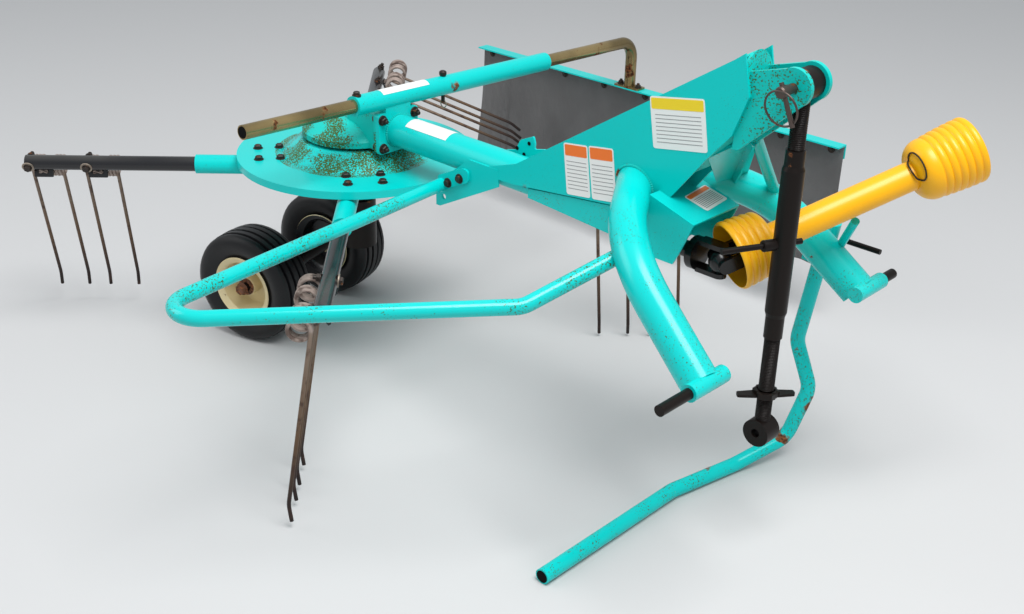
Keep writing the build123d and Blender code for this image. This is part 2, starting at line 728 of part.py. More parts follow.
# Wheels: a tyre on a dished rim
for side, name in ((-1, "right"), (1, "left")):
    outward = tuple(side * d for d in axle_dir)
    centre = [m + side * WHEEL_HALF * d for m, d in zip(axle_mid, axle_dir)]
    hub_plane = Plane(origin=centre, x_dir=(0, 0, 1), z_dir=outward)
    with BuildPart() as tyre:
        with BuildSketch(Plane.XZ):
            with BuildLine():
                Polyline(
                    (RIM_R - 13, -44), (RIM_R + 8, -52), (RIM_R + 30, -TYRE_W / 2), (TYRE_R - 24, -TYRE_W / 2),
                    (TYRE_R - 7, -TYRE_W / 2 + 10), (TYRE_R, -TYRE_W / 2 + 26), (TYRE_R, TYRE_W / 2 - 26),
                    (TYRE_R - 7, TYRE_W / 2 - 10), (TYRE_R - 24, TYRE_W / 2), (RIM_R + 30, TYRE_W / 2),
                    (RIM_R + 8, 52), (RIM_R - 13, 44), close=True,
                )
            make_face()
        revolve(axis=Axis.Z)
    tyre_part = hub_plane.location * tyre.part
    tyre_part.label = "tyre_" + name
    export_step(tyre_part, "parts/tyre_" + name + ".step")
    with BuildPart() as rim:
        with BuildSketch(Plane.XZ):
            with BuildLine():
                Polyline(
                    (AXLE_R + RUNNING_FIT, -52), (28, -52), (28, -10), (RIM_R - 19, -10), (RIM_R - 19, -46),
                    (RIM_R - 15, -52), (RIM_R, -56), (RIM_R, -52.5), (RIM_R - 13, -44), (RIM_R - 13, 44),
                    (RIM_R, 52.5), (RIM_R, 56), (RIM_R - 15, 52), (RIM_R - 19, 46), (RIM_R - 19, 0),
                    (28, 0), (28, 40), (AXLE_R + RUNNING_FIT, 40), close=True,
                )
            make_face()
        revolve(axis=Axis.Z)
    rim_part = hub_plane.location * rim.part
    rim_part.label = "rim_" + name
    export_step(rim_part, "parts/rim_" + name + ".step")

# Boom sleeve, boom, rail and canvas
b, d = math.radians(BOOM_YAW), math.radians(BOOM_DROOP)
BOOM_DIR = (-math.sin(b) * math.cos(d), math.cos(b) * math.cos(d), -math.sin(d))


def boom_point(distance):
    """A point of the boom's axis, measured from over the beam, outwards positive."""
    return tuple(c + distance * v for c, v in zip((BOOM_X, 0, BOOM_Z), BOOM_DIR))


with BuildPart() as boom_sleeve:
    with BuildSketch(Plane(origin=boom_point(SLEEVE_NEAR), z_dir=BOOM_DIR)):
        Circle(SLEEVE_R)
        Circle(BOOM_R + RUNNING_FIT, mode=Mode.SUBTRACT)
    extrude(amount=SLEEVE_FAR - SLEEVE_NEAR)
    with BuildSketch(Plane.XY.offset(FLANGE_Z1)):
        with Locations((BOOM_X + 7, 0)):
            Rectangle(24, 80)
    extrude(amount=BOOM_Z - FLANGE_Z1)
    with BuildSketch(Plane(origin=boom_point(SLEEVE_NEAR), z_dir=BOOM_DIR)):
        Circle(BOOM_R + RUNNING_FIT)
    extrude(amount=SLEEVE_FAR - SLEEVE_NEAR, mode=Mode.SUBTRACT)
boom_sleeve.part.label = "boom_sleeve"

corner = boom_point(BOOM_CORNER)
foot = (corner[0], corner[1], RAIL_TOP)
CURTAIN_Y = corner[1] + RAIL_W / 2 - RAIL_T  # inner side of the rail's upright flange
boom = tube_along([boom_point(BOOM_NEAR), corner, foot], [55], BOOM_R)
boom.label = "boom"

with BuildPart() as curtain_rail:
    with BuildSketch(Plane.YZ.offset(CURTAIN_X0)):
        with BuildLine():
            Polyline(
                (CURTAIN_Y + RAIL_T, RAIL_TOP), (CURTAIN_Y + RAIL_T, RAIL_TOP - RAIL_W),
                (CURTAIN_Y, RAIL_TOP - RAIL_W), (CURTAIN_Y, RAIL_TOP - RAIL_T),
                (CURTAIN_Y + RAIL_T - RAIL_W, RAIL_TOP - RAIL_T),
                (CURTAIN_Y + RAIL_T - RAIL_W, RAIL_TOP), close=True,
            )
        make_face()
    extrude(amount=CURTAIN_X1 - CURTAIN_X0)
curtain_rail.part.label = "curtain_rail"

with BuildPart() as curtain_canvas:
    with BuildSketch(Plane.XZ.offset(-CURTAIN_Y)):
        with BuildLine():
            Polyline((CURTAIN_X0, RAIL_TOP - RAIL_T - 1), (CURTAIN_X1, RAIL_TOP - RAIL_T - 1),
                     (CURTAIN_X1, CANVAS_FOOT), (CURTAIN_X0, CANVAS_FOOT), close=True)
        make_face()
    extrude(amount=CANVAS_T)
curtain_canvas.part.label = "curtain_canvas"

# Side guard: a hairpin tube from the beam's bracket round to the right-hand hitch arm
BRACKET_T = 6.0
with BuildPart() as guard_bracket:
    with BuildSketch(Plane.XZ.offset(BEAM_R)):
        with BuildLine():
            Polyline((349, 570), (349, 513), (362, 513), (552, 613), (552, 655), (460, 655), close=True)
        make_face()
        with Locations((375, 540)):
            Circle(7, mode=Mode.SUBTRACT)
    extrude(amount=BRACKET_T)
    add(headstock_right, mode=Mode.SUBTRACT)
guard_bracket.part.label = "guard_bracket"

GUARD_ROUTE = [(373, -BEAM_R, 573), (497, -968, 581), (978, -415, 592), (HITCH_ROOT_X + 117, -196, HITCH_ROOT_Z - 60)]
guard = tube_along(GUARD_ROUTE, [64, 60], GUARD_R)
guard = guard - guard_bracket.part - hitch_arms["right"]
guard.label = "side_guard"

# Parking stand: a bent tube whose foot lies along the floor, pinned in a sleeve on the left hitch arm
STAND_Y = 348.0
STAND_FOOT_X = 1068.0
STAND_TOP = Vector(1184, STAND_Y, 627)
STAND_KNEE = Vector(1136, STAND_Y, 299)
stand = tube_along(
    [STAND_TOP, STAND_KNEE, (1185, STAND_Y, 192), (1157, 320, 58), (1106, 190, STAND_R),
     (STAND_FOOT_X, 0, STAND_R), (STAND_FOOT_X, -434, STAND_R)],
    [60, 60, 50, 60, 80], STAND_R)
stand.label = "stand_tube"

SLEEVE_LENGTH = 80.0
STAND_AXIS = (STAND_TOP - STAND_KNEE).normalized()
sleeve_plane = Plane(origin=STAND_TOP - 100 * STAND_AXIS, x_dir=(0, 1, 0), z_dir=STAND_AXIS)
with BuildPart() as stand_sleeve:
    with BuildSketch(sleeve_plane):
        Circle(STAND_R + 6)
        with Locations((-36, 0)):
            Rectangle(52, 30)
        Circle(STAND_R + RUNNING_FIT, mode=Mode.SUBTRACT)
    extrude(amount=SLEEVE_LENGTH)
    add(hitch_arms["left"], mode=Mode.SUBTRACT)
stand_sleeve.part.label = "stand_sleeve"

for piece in (rotor_disc, arm_sockets, column, gearbox, main_beam, headstock_cover, top_link_lugs,
              top_link_pin, link_upper_eye, link_barrel, link_lower_eye, shaft_trough, drive_hood,
              drive_stub, shaft_inner_guard, shaft_core, shaft_outer_guard, tractor_yoke, castor_frame,
              boom_sleeve, curtain_rail, curtain_canvas, guard_bracket, stand_sleeve):
    export_step(piece.part, "parts/" + piece.part.label + ".step")
for solid in (headstock_left, headstock_right, boom, guard, stand):
    export_step(solid, "parts/" + solid.label + ".step")
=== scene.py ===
# %% [markdown]
# # A rotary rake, parked
# The machine is a small hay rake for the back of a tractor: a turning disc with four tined arms, a
# boom with a canvas curtain, two castor wheels, a three-point hitch and a guarded drive shaft.
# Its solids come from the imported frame, and this file adds the finishes and the small pieces.
# New pieces are grids of points worked out with numpy, so each shape is a formula to read.

# %% Set-up
import json
import math

import bpy
import numpy as np
from mathutils import Matrix, Vector

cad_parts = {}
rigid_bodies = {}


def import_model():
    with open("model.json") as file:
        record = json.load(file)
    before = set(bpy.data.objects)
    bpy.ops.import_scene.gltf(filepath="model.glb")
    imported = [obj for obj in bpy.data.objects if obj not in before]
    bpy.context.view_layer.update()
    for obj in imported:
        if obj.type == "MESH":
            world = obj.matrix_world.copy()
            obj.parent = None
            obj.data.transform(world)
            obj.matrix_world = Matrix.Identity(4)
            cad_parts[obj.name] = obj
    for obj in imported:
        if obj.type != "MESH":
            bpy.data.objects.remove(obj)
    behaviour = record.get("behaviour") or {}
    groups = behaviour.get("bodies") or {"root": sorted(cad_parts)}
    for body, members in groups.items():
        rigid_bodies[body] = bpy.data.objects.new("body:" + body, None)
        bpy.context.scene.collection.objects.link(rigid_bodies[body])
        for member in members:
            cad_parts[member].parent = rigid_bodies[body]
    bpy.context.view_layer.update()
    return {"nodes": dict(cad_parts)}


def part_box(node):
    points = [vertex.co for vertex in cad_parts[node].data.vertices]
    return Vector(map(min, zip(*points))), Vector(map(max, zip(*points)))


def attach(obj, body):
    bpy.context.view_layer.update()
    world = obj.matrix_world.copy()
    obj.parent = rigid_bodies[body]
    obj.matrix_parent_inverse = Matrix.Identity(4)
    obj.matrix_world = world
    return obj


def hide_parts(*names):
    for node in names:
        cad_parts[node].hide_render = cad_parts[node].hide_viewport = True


for leftover in list(bpy.data.objects):
    bpy.data.objects.remove(leftover)
scene = bpy.context.scene

# %% [markdown]
# ## The camera
# The photograph was taken from the front right, at about eye height. Its place and lens were worked
# out from the lines of the beam, the disc and the uprights: 43 degrees round, looking 26.6 degrees
# down, with a 45 mm lens on a full frame.

# %% Camera
AZIMUTH, PITCH, ROLL = math.radians(43.06), math.radians(26.55), math.radians(1.30)
CAMERA_AT = (2.45276, -2.02314, 1.68128)
FOCAL_PX, PICTURE_PX, SENSOR_MM = 1291.68, 1024, 36

look = Vector((-math.sin(AZIMUTH) * math.cos(PITCH), math.cos(AZIMUTH) * math.cos(PITCH), -math.sin(PITCH)))
level = Vector((math.cos(AZIMUTH), math.sin(AZIMUTH), 0))
rise = level.cross(look)
right = level * math.cos(ROLL) + rise * math.sin(ROLL)
upward = rise * math.cos(ROLL) - level * math.sin(ROLL)

camera = bpy.data.objects.new("camera", bpy.data.cameras.new("camera"))
scene.collection.objects.link(camera)
camera.matrix_world = Matrix.Translation(CAMERA_AT) @ Matrix(
    (right, upward, -look)).transposed().to_4x4()
camera.data.sensor_width = SENSOR_MM
camera.data.lens = SENSOR_MM * FOCAL_PX / PICTURE_PX
scene.camera = camera
scene.view_settings.view_transform = "Standard"
print("lens", round(camera.data.lens, 2), "mm")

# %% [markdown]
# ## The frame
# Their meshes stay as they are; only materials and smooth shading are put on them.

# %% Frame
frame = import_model()
nodes = frame["nodes"]

# %% [markdown]
# ## Surfaces from arrays
# A tube, a turned shape and a plate are all grids: rows of points along the piece, columns round it.
# One helper turns a grid into quads, another closes its ends. A closed shell whose enclosed volume
# comes out negative is inside out, so its faces are turned.

# %% Grid helpers


def unit(v):
    """Vectors divided by their own length, along the last axis."""
    v = np.asarray(v, float)
    return v / np.linalg.norm(v, axis=-1, keepdims=True)


def grid_faces(rows, columns, wrap_rows=False):
    """Quads of a grid whose columns close on themselves: point (i, j) is number i * columns + j."""
    i = np.arange(rows if wrap_rows else rows - 1)[:, None]
    j = np.arange(columns)[None, :]
    i1, j1 = (i + 1) % rows, (j + 1) % columns
    quads = np.stack([i * columns + j, i * columns + j1, i1 * columns + j1, i1 * columns + j], -1)
    return quads.reshape(-1, 4).tolist()


def shell(grid, wrap_rows=False):
    """A closed shell from a grid of points: open ends get a flat cap."""
    rows, columns = grid.shape[:2]
    faces = grid_faces(rows, columns, wrap_rows)
    if not wrap_rows:
        faces += [list(range(columns))[::-1], list(range((rows - 1) * columns, rows * columns))]
    return grid.reshape(-1, 3), faces


def tube(path, radius, sides=16, across=(0, 0, 1)):
    """Each station of the path carries a circle: point + radius * (cos(a) * n + sin(a) * b), where n is
    square to the path and to the vector across, and b is square to both."""
    path = np.asarray(path, float)
    t = unit(np.gradient(path, axis=0))
    n = unit(np.cross(t, across))
    b = np.cross(t, n)
    a = np.linspace(0, 2 * np.pi, sides, endpoint=False)[None, :, None]
    r = np.broadcast_to(radius, len(path))[:, None, None]
    return shell(path[:, None] + r * (np.cos(a) * n[:, None] + np.sin(a) * b[:, None]))


def turned(profile, centre=(0, 0, 0), axis=(0, 0, 1), sides=32, ring=False):
    """A profile of (radius, height) pairs turned about an axis: centre + height * axis + radius * a
    direction that goes once round. A ring's profile closes on itself."""
    profile = np.asarray(profile, float)
    axis = unit(axis)
    start = unit(np.cross(axis, (0, 0, 1) if abs(axis[2]) < 0.9 else (1, 0, 0)))
    a = np.linspace(0, 2 * np.pi, sides, endpoint=False)[None, :, None]
    spoke = np.cos(a) * start + np.sin(a) * np.cross(axis, start)
    radius, height = profile[:, 0, None, None], profile[:, 1, None, None]
    return shell(np.asarray(centre) + height * axis + radius * spoke, ring)


def eased(a, p, b, steps):
    """The curve (1-t)^2 A + 2t(1-t) P + t^2 B that cuts off each corner P between the points A and B."""
    t = np.linspace(0, 1, steps)[None, :, None]
    curves = (1 - t) ** 2 * a[:, None] + 2 * t * (1 - t) * p[:, None] + t ** 2 * b[:, None]
    return curves.reshape(-1, p.shape[-1])


def rounded(outline, radius, steps=5):
    """A closed outline with each corner eased between the points that lie at the radius from it."""
    p = np.asarray(outline, float)
    return eased(p + unit(np.roll(p, 1, 0) - p) * radius, p, p + unit(np.roll(p, -1, 0) - p) * radius, steps)


def oblong(x0, x1, y0, y1):
    """The outline of a rectangle, from its lower left corner round."""
    return np.array([(x0, y0), (x1, y0), (x1, y1), (x0, y1)])


def slab(outline, origin, ex, ey, thickness):
    """A flat plate: the outline laid on origin + x * ex + y * ey, and again a thickness further out."""
    ex, ey = unit(ex), unit(ey)
    flat = np.asarray(origin) + outline[:, :1] * ex + outline[:, 1:] * ey
    return shell(np.stack([flat, flat + thickness * np.cross(ex, ey)]))


def joined(shells):
    """Several shells as one list of points and one of faces."""
    points, faces, count = [], [], 0
    for shell_points, shell_faces in shells:
        points.append(shell_points)
        faces += [[count + k for k in face] for face in shell_faces]
        count += len(shell_points)
    return np.concatenate(points), faces


def smooth_path(corners, bend, steps):
    """Straight runs with each inner corner eased in the same way as an outline's."""
    p = np.asarray(corners, float)
    before, inner, after = p[:-2], p[1:-1], p[2:]
    arcs = eased(inner + unit(before - inner) * bend, inner, inner + unit(after - inner) * bend, steps)
    return np.concatenate([p[:1], arcs, p[-1:]])


# %% [markdown]
# ## Putting a piece in the scene
# `make` builds the mesh, turns it the right way out, gives it a finish and hangs it on the body that
# it moves with. Edges sharper than 35 degrees stay crisp.

# %% Piece helper
CREASE_ANGLE = math.radians(35)


def make(name, shape, finish, body, smooth=True, along=None):
    """A finished object from points and faces; along is a value for each point, kept as an attribute."""
    points, faces = shape
    mesh = bpy.data.meshes.new(name)
    mesh.from_pydata(np.asarray(points).tolist(), [], faces)
    mesh.update()
    mesh.calc_loop_triangles()
    tri = np.zeros(len(mesh.loop_triangles) * 3, int)
    mesh.loop_triangles.foreach_get("vertices", tri)
    corner = np.asarray(points, float)[tri.reshape(-1, 3)]
    volume = np.einsum("ij,ij->", corner[:, 0], np.cross(corner[:, 1], corner[:, 2])) / 6
    if volume < 0:
        mesh.flip_normals()
    mesh.polygons.foreach_set("use_smooth", [smooth] * len(mesh.polygons))
    if smooth:
        mesh.set_sharp_from_angle(angle=CREASE_ANGLE)
    if along is not None:
        values = mesh.attributes.new("along", "FLOAT", "POINT")
        values.data.foreach_set("value", np.asarray(along, np.float32))
    mesh.materials.append(finish)
    piece = bpy.data.objects.new(name, mesh)
    scene.collection.objects.link(piece)
    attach(piece, body)
    return piece


# %% [markdown]
# ## Dirt, rust and dust
# A machine that is left outside collects three things: moss specks where water stands, rust where
# the paint is broken, and pale dust on whatever faces up. Each one is a shader group, made once and
# placed in every paint with its own amounts.

# %% Shader helpers


def new_group(name, inputs, outputs):
    """An empty shader group with numbers in, and the named masks or colours out."""
    tree = bpy.data.node_groups.new(name, "ShaderNodeTree")
    for label, value in inputs:
        socket = tree.interface.new_socket(label, in_out="INPUT", socket_type="NodeSocketFloat")
        socket.default_value = value
    for label, kind in outputs:
        tree.interface.new_socket(label, in_out="OUTPUT", socket_type="NodeSocket" + kind)
    return tree, tree.nodes.new("NodeGroupInput"), tree.nodes.new("NodeGroupOutput")


def feed(tree, value, socket):
    """What goes into a socket: a link from another socket, or a plain value."""
    if isinstance(value, bpy.types.NodeSocket):
        tree.links.new(value, socket)
    else:
        socket.default_value = value


def node(tree, kind, settings=None, **links):
    """One node, its settings, and what feeds each of its inputs: a socket or a plain value."""
    made = tree.nodes.new(kind)
    for key, value in (settings or {}).items():
        setattr(made, key, value)
    for key, value in links.items():
        numbered = key[0] == "i" and key[1:].isdigit()
        socket = made.inputs[int(key[1:]) if numbered else key.replace("_", " ")]
        feed(tree, value, socket)
    return made


def step_mask(tree, value, low, high):
    """0 below low, 1 above high, a smooth step between."""
    return node(tree, "ShaderNodeMapRange", {"interpolation_type": "SMOOTHSTEP"}, Value=value, From_Min=low,
                From_Max=high).outputs["Result"]


def noise(tree, scale, detail=3.0, stretch=None):
    """A noise value on the object's own coordinates, stretched where the pattern runs one way."""
    where = tree.nodes.new("ShaderNodeTexCoord").outputs["Object"]
    if stretch:
        where = node(tree, "ShaderNodeMapping", Vector=where, Scale=stretch).outputs[0]
    return node(tree, "ShaderNodeTexNoise", Vector=where, Scale=scale, Detail=detail).outputs[0]


def math_step(tree, operation, a, b, c=0.5):
    """One step of arithmetic on values; the third is read only by the steps that take three."""
    return node(tree, "ShaderNodeMath", {"operation": operation}, i0=a, i1=b, i2=c).outputs[0]


def multiply(tree, a, b):
    """The product of two values."""
    return math_step(tree, "MULTIPLY", a, b)


def mixed(tree, mask, under, over):
    """A colour laid over another through a mask."""
    return node(tree, "ShaderNodeMix", {"data_type": "RGBA"}, i0=mask, i6=under, i7=over).outputs[2]


# %% [markdown]
# ## Four masks
# Moss is fine specks gathered in patches. Rust is ragged blotches with a grain and a height of their
# own. Dust is a thin film on the faces that look up. The last mask keeps a finish between two distances
# from the rotor's axis, for the moss on the disc.

# %% Shader groups
MOSS, DUST = (0.050, 0.105, 0.022, 1), (0.42, 0.40, 0.34, 1)
RUST_DARK, RUST_LIGHT = (0.035, 0.014, 0.008, 1), (0.26, 0.095, 0.035, 1)

speckle, given, out = new_group("moss specks", [("Amount", 0.5), ("Patch", 6.0), ("Grain", 420.0)],
                                [("Mask", "Float")])
patch = step_mask(speckle, noise(speckle, given.outputs["Patch"], 2.0), 0.33, 0.58)
grain = noise(speckle, given.outputs["Grain"], 1.5)
lowered = math_step(speckle, "MULTIPLY_ADD", given.outputs["Amount"], patch, grain)
speckle.links.new(step_mask(speckle, lowered, 0.80, 0.92), out.inputs["Mask"])

rust, given, out = new_group("rust", [("Amount", 0.3), ("Patch", 9.0)],
                             [("Color", "Color"), ("Mask", "Float"), ("Height", "Float")])
spread = noise(rust, given.outputs["Patch"], 6.0)
edge = math_step(rust, "SUBTRACT", 0.80, given.outputs["Amount"])
edge_high = math_step(rust, "ADD", edge, 0.04)
fine = noise(rust, 160.0, 4.0)
tone = node(rust, "ShaderNodeValToRGB", Fac=fine)
for stop, place, shade in zip(tone.color_ramp.elements, (0.35, 0.65), (RUST_DARK, RUST_LIGHT)):
    stop.position, stop.color = place, shade
rust.links.new(step_mask(rust, spread, edge, edge_high), out.inputs["Mask"])
rust.links.new(tone.outputs[0], out.inputs["Color"])
rust.links.new(fine, out.inputs["Height"])

dust, given, out = new_group("dust", [("Amount", 0.3)], [("Mask", "Float")])
normal = dust.nodes.new("ShaderNodeNewGeometry").outputs["Normal"]
facing_up = node(dust, "ShaderNodeSeparateXYZ", Vector=normal).outputs[2]
top = step_mask(dust, facing_up, 0.3, 1.0)
film = multiply(dust, step_mask(dust, noise(dust, 3.0, 5.0), 0.35, 0.75), top)
dust.links.new(multiply(dust, film, given.outputs["Amount"]), out.inputs["Mask"])

ring_zone, given, out = new_group("ring round the rotor's axis", [("From", 0.0), ("To", 0.2)],
                                  [("Mask", "Float")])
where = ring_zone.nodes.new("ShaderNodeTexCoord").outputs["Object"]
flat = node(ring_zone, "ShaderNodeVectorMath", {"operation": "MULTIPLY"}, i0=where, i1=(1, 1, 0)).outputs[0]
reach = node(ring_zone, "ShaderNodeVectorMath", {"operation": "LENGTH"}, i0=flat).outputs["Value"]
inner = math_step(ring_zone, "GREATER_THAN", reach, given.outputs["From"])
outer = math_step(ring_zone, "LESS_THAN", reach, given.outputs["To"])
ring_zone.links.new(multiply(ring_zone, inner, outer), out.inputs["Mask"])
print("shader groups:", [g.name for g in bpy.data.node_groups])

# %% [markdown]
# ## Paint and metal
# One function makes a painted or bare metal finish: the clean colour, then moss specks, then dust, then
# rust with a little relief. Where there is rust, the gloss is gone.

# %% Finish helpers


def grouped(tree, group, **values):
    """A group placed in a material with its own values."""
    made = tree.nodes.new("ShaderNodeGroup")
    made.node_tree = group
    for key, value in values.items():
        made.inputs[key].default_value = value
    return made.outputs


def finish(name, colour, roughness=0.35, metallic=0.0, moss=0.0, moss_patch=6.0, rusty=0.0, rust_patch=9.0,
           dusty=0.0, ring=None, shade=0.0, gloss=0.5, grain=420.0):
    """A weathered finish. shade darkens slow patches of the colour, and ring keeps the moss between two
    distances from the rotor's axis."""
    made = bpy.data.materials.new(name)
    made.use_nodes = True
    tree = made.node_tree
    skin = tree.nodes["Principled BSDF"]
    skin.inputs["Metallic"].default_value = metallic
    skin.inputs["Specular IOR Level"].default_value = gloss
    colour = (*colour, 1)
    if shade:
        tone = step_mask(tree, noise(tree, 5.0, 4.0), 0.3, 0.7)
        colour = mixed(tree, tone, colour, tuple(c * (1 - shade) for c in colour[:3]) + (1,))
    rough = roughness
    if moss:
        mask = grouped(tree, speckle, Amount=moss, Patch=moss_patch, Grain=grain)["Mask"]
        if ring:
            mask = multiply(tree, mask, grouped(tree, ring_zone, From=ring[0], To=ring[1])["Mask"])
        colour = mixed(tree, mask, colour, MOSS)
    if dusty:
        colour = mixed(tree, grouped(tree, dust, Amount=dusty)["Mask"], colour, DUST)
    if rusty:
        rusted = grouped(tree, rust, Amount=rusty, Patch=rust_patch)
        colour = mixed(tree, rusted["Mask"], colour, rusted["Color"])
        rough = node(tree, "ShaderNodeMix", {"data_type": "FLOAT"}, i0=rusted["Mask"], i2=roughness,
                     i3=0.85).outputs[0]
        relief = node(tree, "ShaderNodeBump", Height=multiply(tree, rusted["Height"], rusted["Mask"]),
                      Strength=0.25, Distance=0.001)
        tree.links.new(relief.outputs[0], skin.inputs["Normal"])
    feed(tree, colour, skin.inputs["Base Color"])
    feed(tree, rough, skin.inputs["Roughness"])
    return made


# %% [markdown]
# ## The rake's own finishes
# Teal enamel covers most of the machine, and each place has weathered in its own way: the disc and the
# gearbox are speckled with moss, the stand's tube is rubbed and rusty, the side guard has kept its
# gloss. The boom is yellow zinc, the rims are cream, and the joints and pins are dark with old grease.

# %% Finishes
TEAL = (0.0, 0.56, 0.53)
teal = finish("teal enamel", TEAL, 0.30, moss=0.16, moss_patch=3.0, rusty=0.05, dusty=0.03, gloss=0.22)
teal_worn = finish("teal enamel, worn", TEAL, 0.22, moss=0.21, moss_patch=11.0, rusty=0.10,
                   rust_patch=26.0, dusty=0.04, grain=330.0, gloss=0.35)
teal_strip = finish("teal enamel, chipped", (0.0, 0.50, 0.45), 0.40, moss=0.26, moss_patch=14.0, rusty=0.13,
                    rust_patch=30.0, dusty=0.05, grain=260.0, gloss=0.22)
teal_disc = finish("teal enamel of the disc", TEAL, 0.26, moss=0.42, moss_patch=10.0, dusty=0.03,
                   ring=(0.10, 0.205), gloss=0.3, grain=280.0)
teal_mossy = finish("teal enamel, mossy", (0.0, 0.52, 0.46), 0.42, moss=0.44, moss_patch=11.0, dusty=0.05,
                    grain=280.0, gloss=0.22)
teal_shaft = finish("teal enamel, rubbed", TEAL, 0.24, moss=0.24, moss_patch=14.0, rusty=0.17,
                    rust_patch=12.0, grain=260.0, gloss=0.22)
teal_guard = finish("teal enamel of the guard", TEAL, 0.20, moss=0.27, moss_patch=5.0, rusty=0.04,
                    dusty=0.03, grain=260.0, gloss=0.4)
black = finish("black enamel", (0.010, 0.010, 0.012), 0.22, rusty=0.06, dusty=0.10)
forged = finish("black-brown forged steel", (0.009, 0.006, 0.005), 0.40, 0.2, rusty=0.10, rust_patch=30.0,
                gloss=0.2)
greasy = finish("greasy black steel", (0.004, 0.004, 0.004), 0.25, 0.1)
# A near-black finish for flat discs that paint the shade inside open tubes and holes.
painted_hole_shade = finish("painted shade in holes and mouths", (0.004, 0.004, 0.004), 0.9, gloss=0.1)
bolt_steel = finish("dark bolts", (0.03, 0.022, 0.018), 0.45, 0.5, rusty=0.20, rust_patch=60.0)
bare = finish("bare dull steel", (0.10, 0.075, 0.065), 0.42, 0.75, rusty=0.18, rust_patch=40.0)
washer_steel = finish("grey washers", (0.30, 0.25, 0.20), 0.5, 0.6, rusty=0.15, rust_patch=60.0)
zinc = finish("yellow zinc tube", (0.42, 0.31, 0.14), 0.24, 0.85, rusty=0.17, rust_patch=11.0, shade=0.6)
cream = finish("cream enamel", (0.74, 0.62, 0.36), 0.35, rusty=0.10, rust_patch=26.0, shade=0.12)
rusty_iron = finish("rusty iron", (0.16, 0.07, 0.04), 0.8, 0.1, rusty=0.40, rust_patch=40.0)
yellow = finish("yellow plastic", (0.93, 0.45, 0.002), 0.32, dusty=0.04, shade=0.08, gloss=0.4)
rubber = finish("tyre rubber", (0.004, 0.004, 0.005), 0.42, dusty=0.04, shade=0.3, gloss=0.35)
weld = finish("painted weld", (0.0, 0.44, 0.40), 0.4, rusty=0.22, rust_patch=50.0, gloss=0.22)
print(len(bpy.data.materials), "finishes")

# %% [markdown]
# ## Spring wire
# The tines are bare spring wire: pale grey-brown at the coil, rusty down the middle and nearly black at
# the tip. The wire carries its own measure from 0 at a coil to 1 at a tip, and the colour reads it.

# %% Spring wire
spring = finish("rusty spring wire", (0.1, 0.06, 0.04), 0.55, 0.35)
tree = spring.node_tree
measure = node(tree, "ShaderNodeAttribute", {"attribute_name": "along"}).outputs["Fac"]
lengthwise = node(tree, "ShaderNodeValToRGB", Fac=measure)
ramp = lengthwise.color_ramp
COIL_PALE, TIP_BLACK, BLOTCH = (0.34, 0.27, 0.235, 1), (0.012, 0.006, 0.005, 1), (0.05, 0.022, 0.014, 1)
BETWEEN = ((0.12, (0.22, 0.16, 0.12, 1)), (0.55, (0.13, 0.075, 0.04, 1)), (0.86, (0.02, 0.010, 0.008, 1)))
ramp.elements[0].position, ramp.elements[0].color = 0.0, COIL_PALE
ramp.elements[1].position, ramp.elements[1].color = 1.0, TIP_BLACK
for place, shade in BETWEEN:
    ramp.elements.new(place).color = shade
blotch = step_mask(tree, noise(tree, 45.0, 5.0), 0.48, 0.66)
tree.links.new(mixed(tree, multiply(tree, blotch, 0.75), lengthwise.outputs[0], BLOTCH),
               tree.nodes["Principled BSDF"].inputs["Base Color"])

# %% [markdown]
# ## Finishes on the solids
# Every solid takes its paint here: a row names a paint and the solids that wear it. Their faces are set
# to smooth shading, and their points stay as they are.

# %% Painting the solids
paints = {n: black for n in nodes if n.startswith("tine_arm")}
for paint, painted in (
        (teal_disc, "rotor_disc"), (teal_mossy, "gearbox"), (teal_strip, "headstock_cover top_link_lugs"),
        (teal_shaft, "stand_tube"), (teal_worn, "hitch_arm_left hitch_arm_right shaft_trough"),
        (teal_guard, "side_guard"), (zinc, "boom"), (bare, "top_link_pin"), (greasy, "drive_stub shaft_core"),
        (yellow, "shaft_inner_guard shaft_outer_guard"),
        (forged, "column castor_frame hitch_pin_left hitch_pin_right tractor_yoke"),
        (forged, "link_upper_eye link_barrel link_lower_eye")):
    paints.update(dict.fromkeys(painted.split(), paint))
for n, solid in nodes.items():
    solid.data.materials.clear()
    solid.data.materials.append(paints.get(n, teal))
    solid.data.polygons.foreach_set("use_smooth", [True] * len(solid.data.polygons))
print(len(paints), "solids have a paint of their own, the rest are plain teal")

# %% [markdown]
# ## Places on the machine
# The measures below are the ones that the solids were made with, in metres: where the arms point and
# how far each one is rolled, and the lines of the boom and the drive shaft.

# %% Places
ARMS = {"front": (45, -3), "left": (135, 66), "rear": (225, 25), "right": (315, 9)}
ARM_Z, ARM_R, WIRE_R = 0.505, 0.019, 0.0046
FINGERS = ((0.844, 0.766), (0.706, 0.626))
COIL_R, COIL_BACK, COIL_DOWN, COIL_SPAN = 0.024, 0.040, 0.050, 0.0276
CLAMPED, WIRE_SIDES = (-0.014, -0.020), 10
TINE, TIP, FLARE, TIP_BEND = 0.406, 0.040, math.tan(math.radians(3.9)), math.radians(16)


def heading(degrees, rise=0.0):
    """A level direction that many degrees round from straight ahead, or one that rises as well."""
    a, e = math.radians(degrees), math.radians(rise)
    return np.array([math.cos(e) * math.cos(a), math.cos(e) * math.sin(a), math.sin(e)])


def arm_axes(name):
    """Out along the arm, the way its tines trail, and up, turned with the arm's own roll."""
    degrees, roll = ARMS[name]
    out_way, r = heading(degrees), math.radians(roll)
    trail, up = heading(degrees - 90), np.array([0, 0, 1.0])
    return np.array([out_way, trail * math.cos(r) + up * math.sin(r), up * math.cos(r) - trail * math.sin(r)])


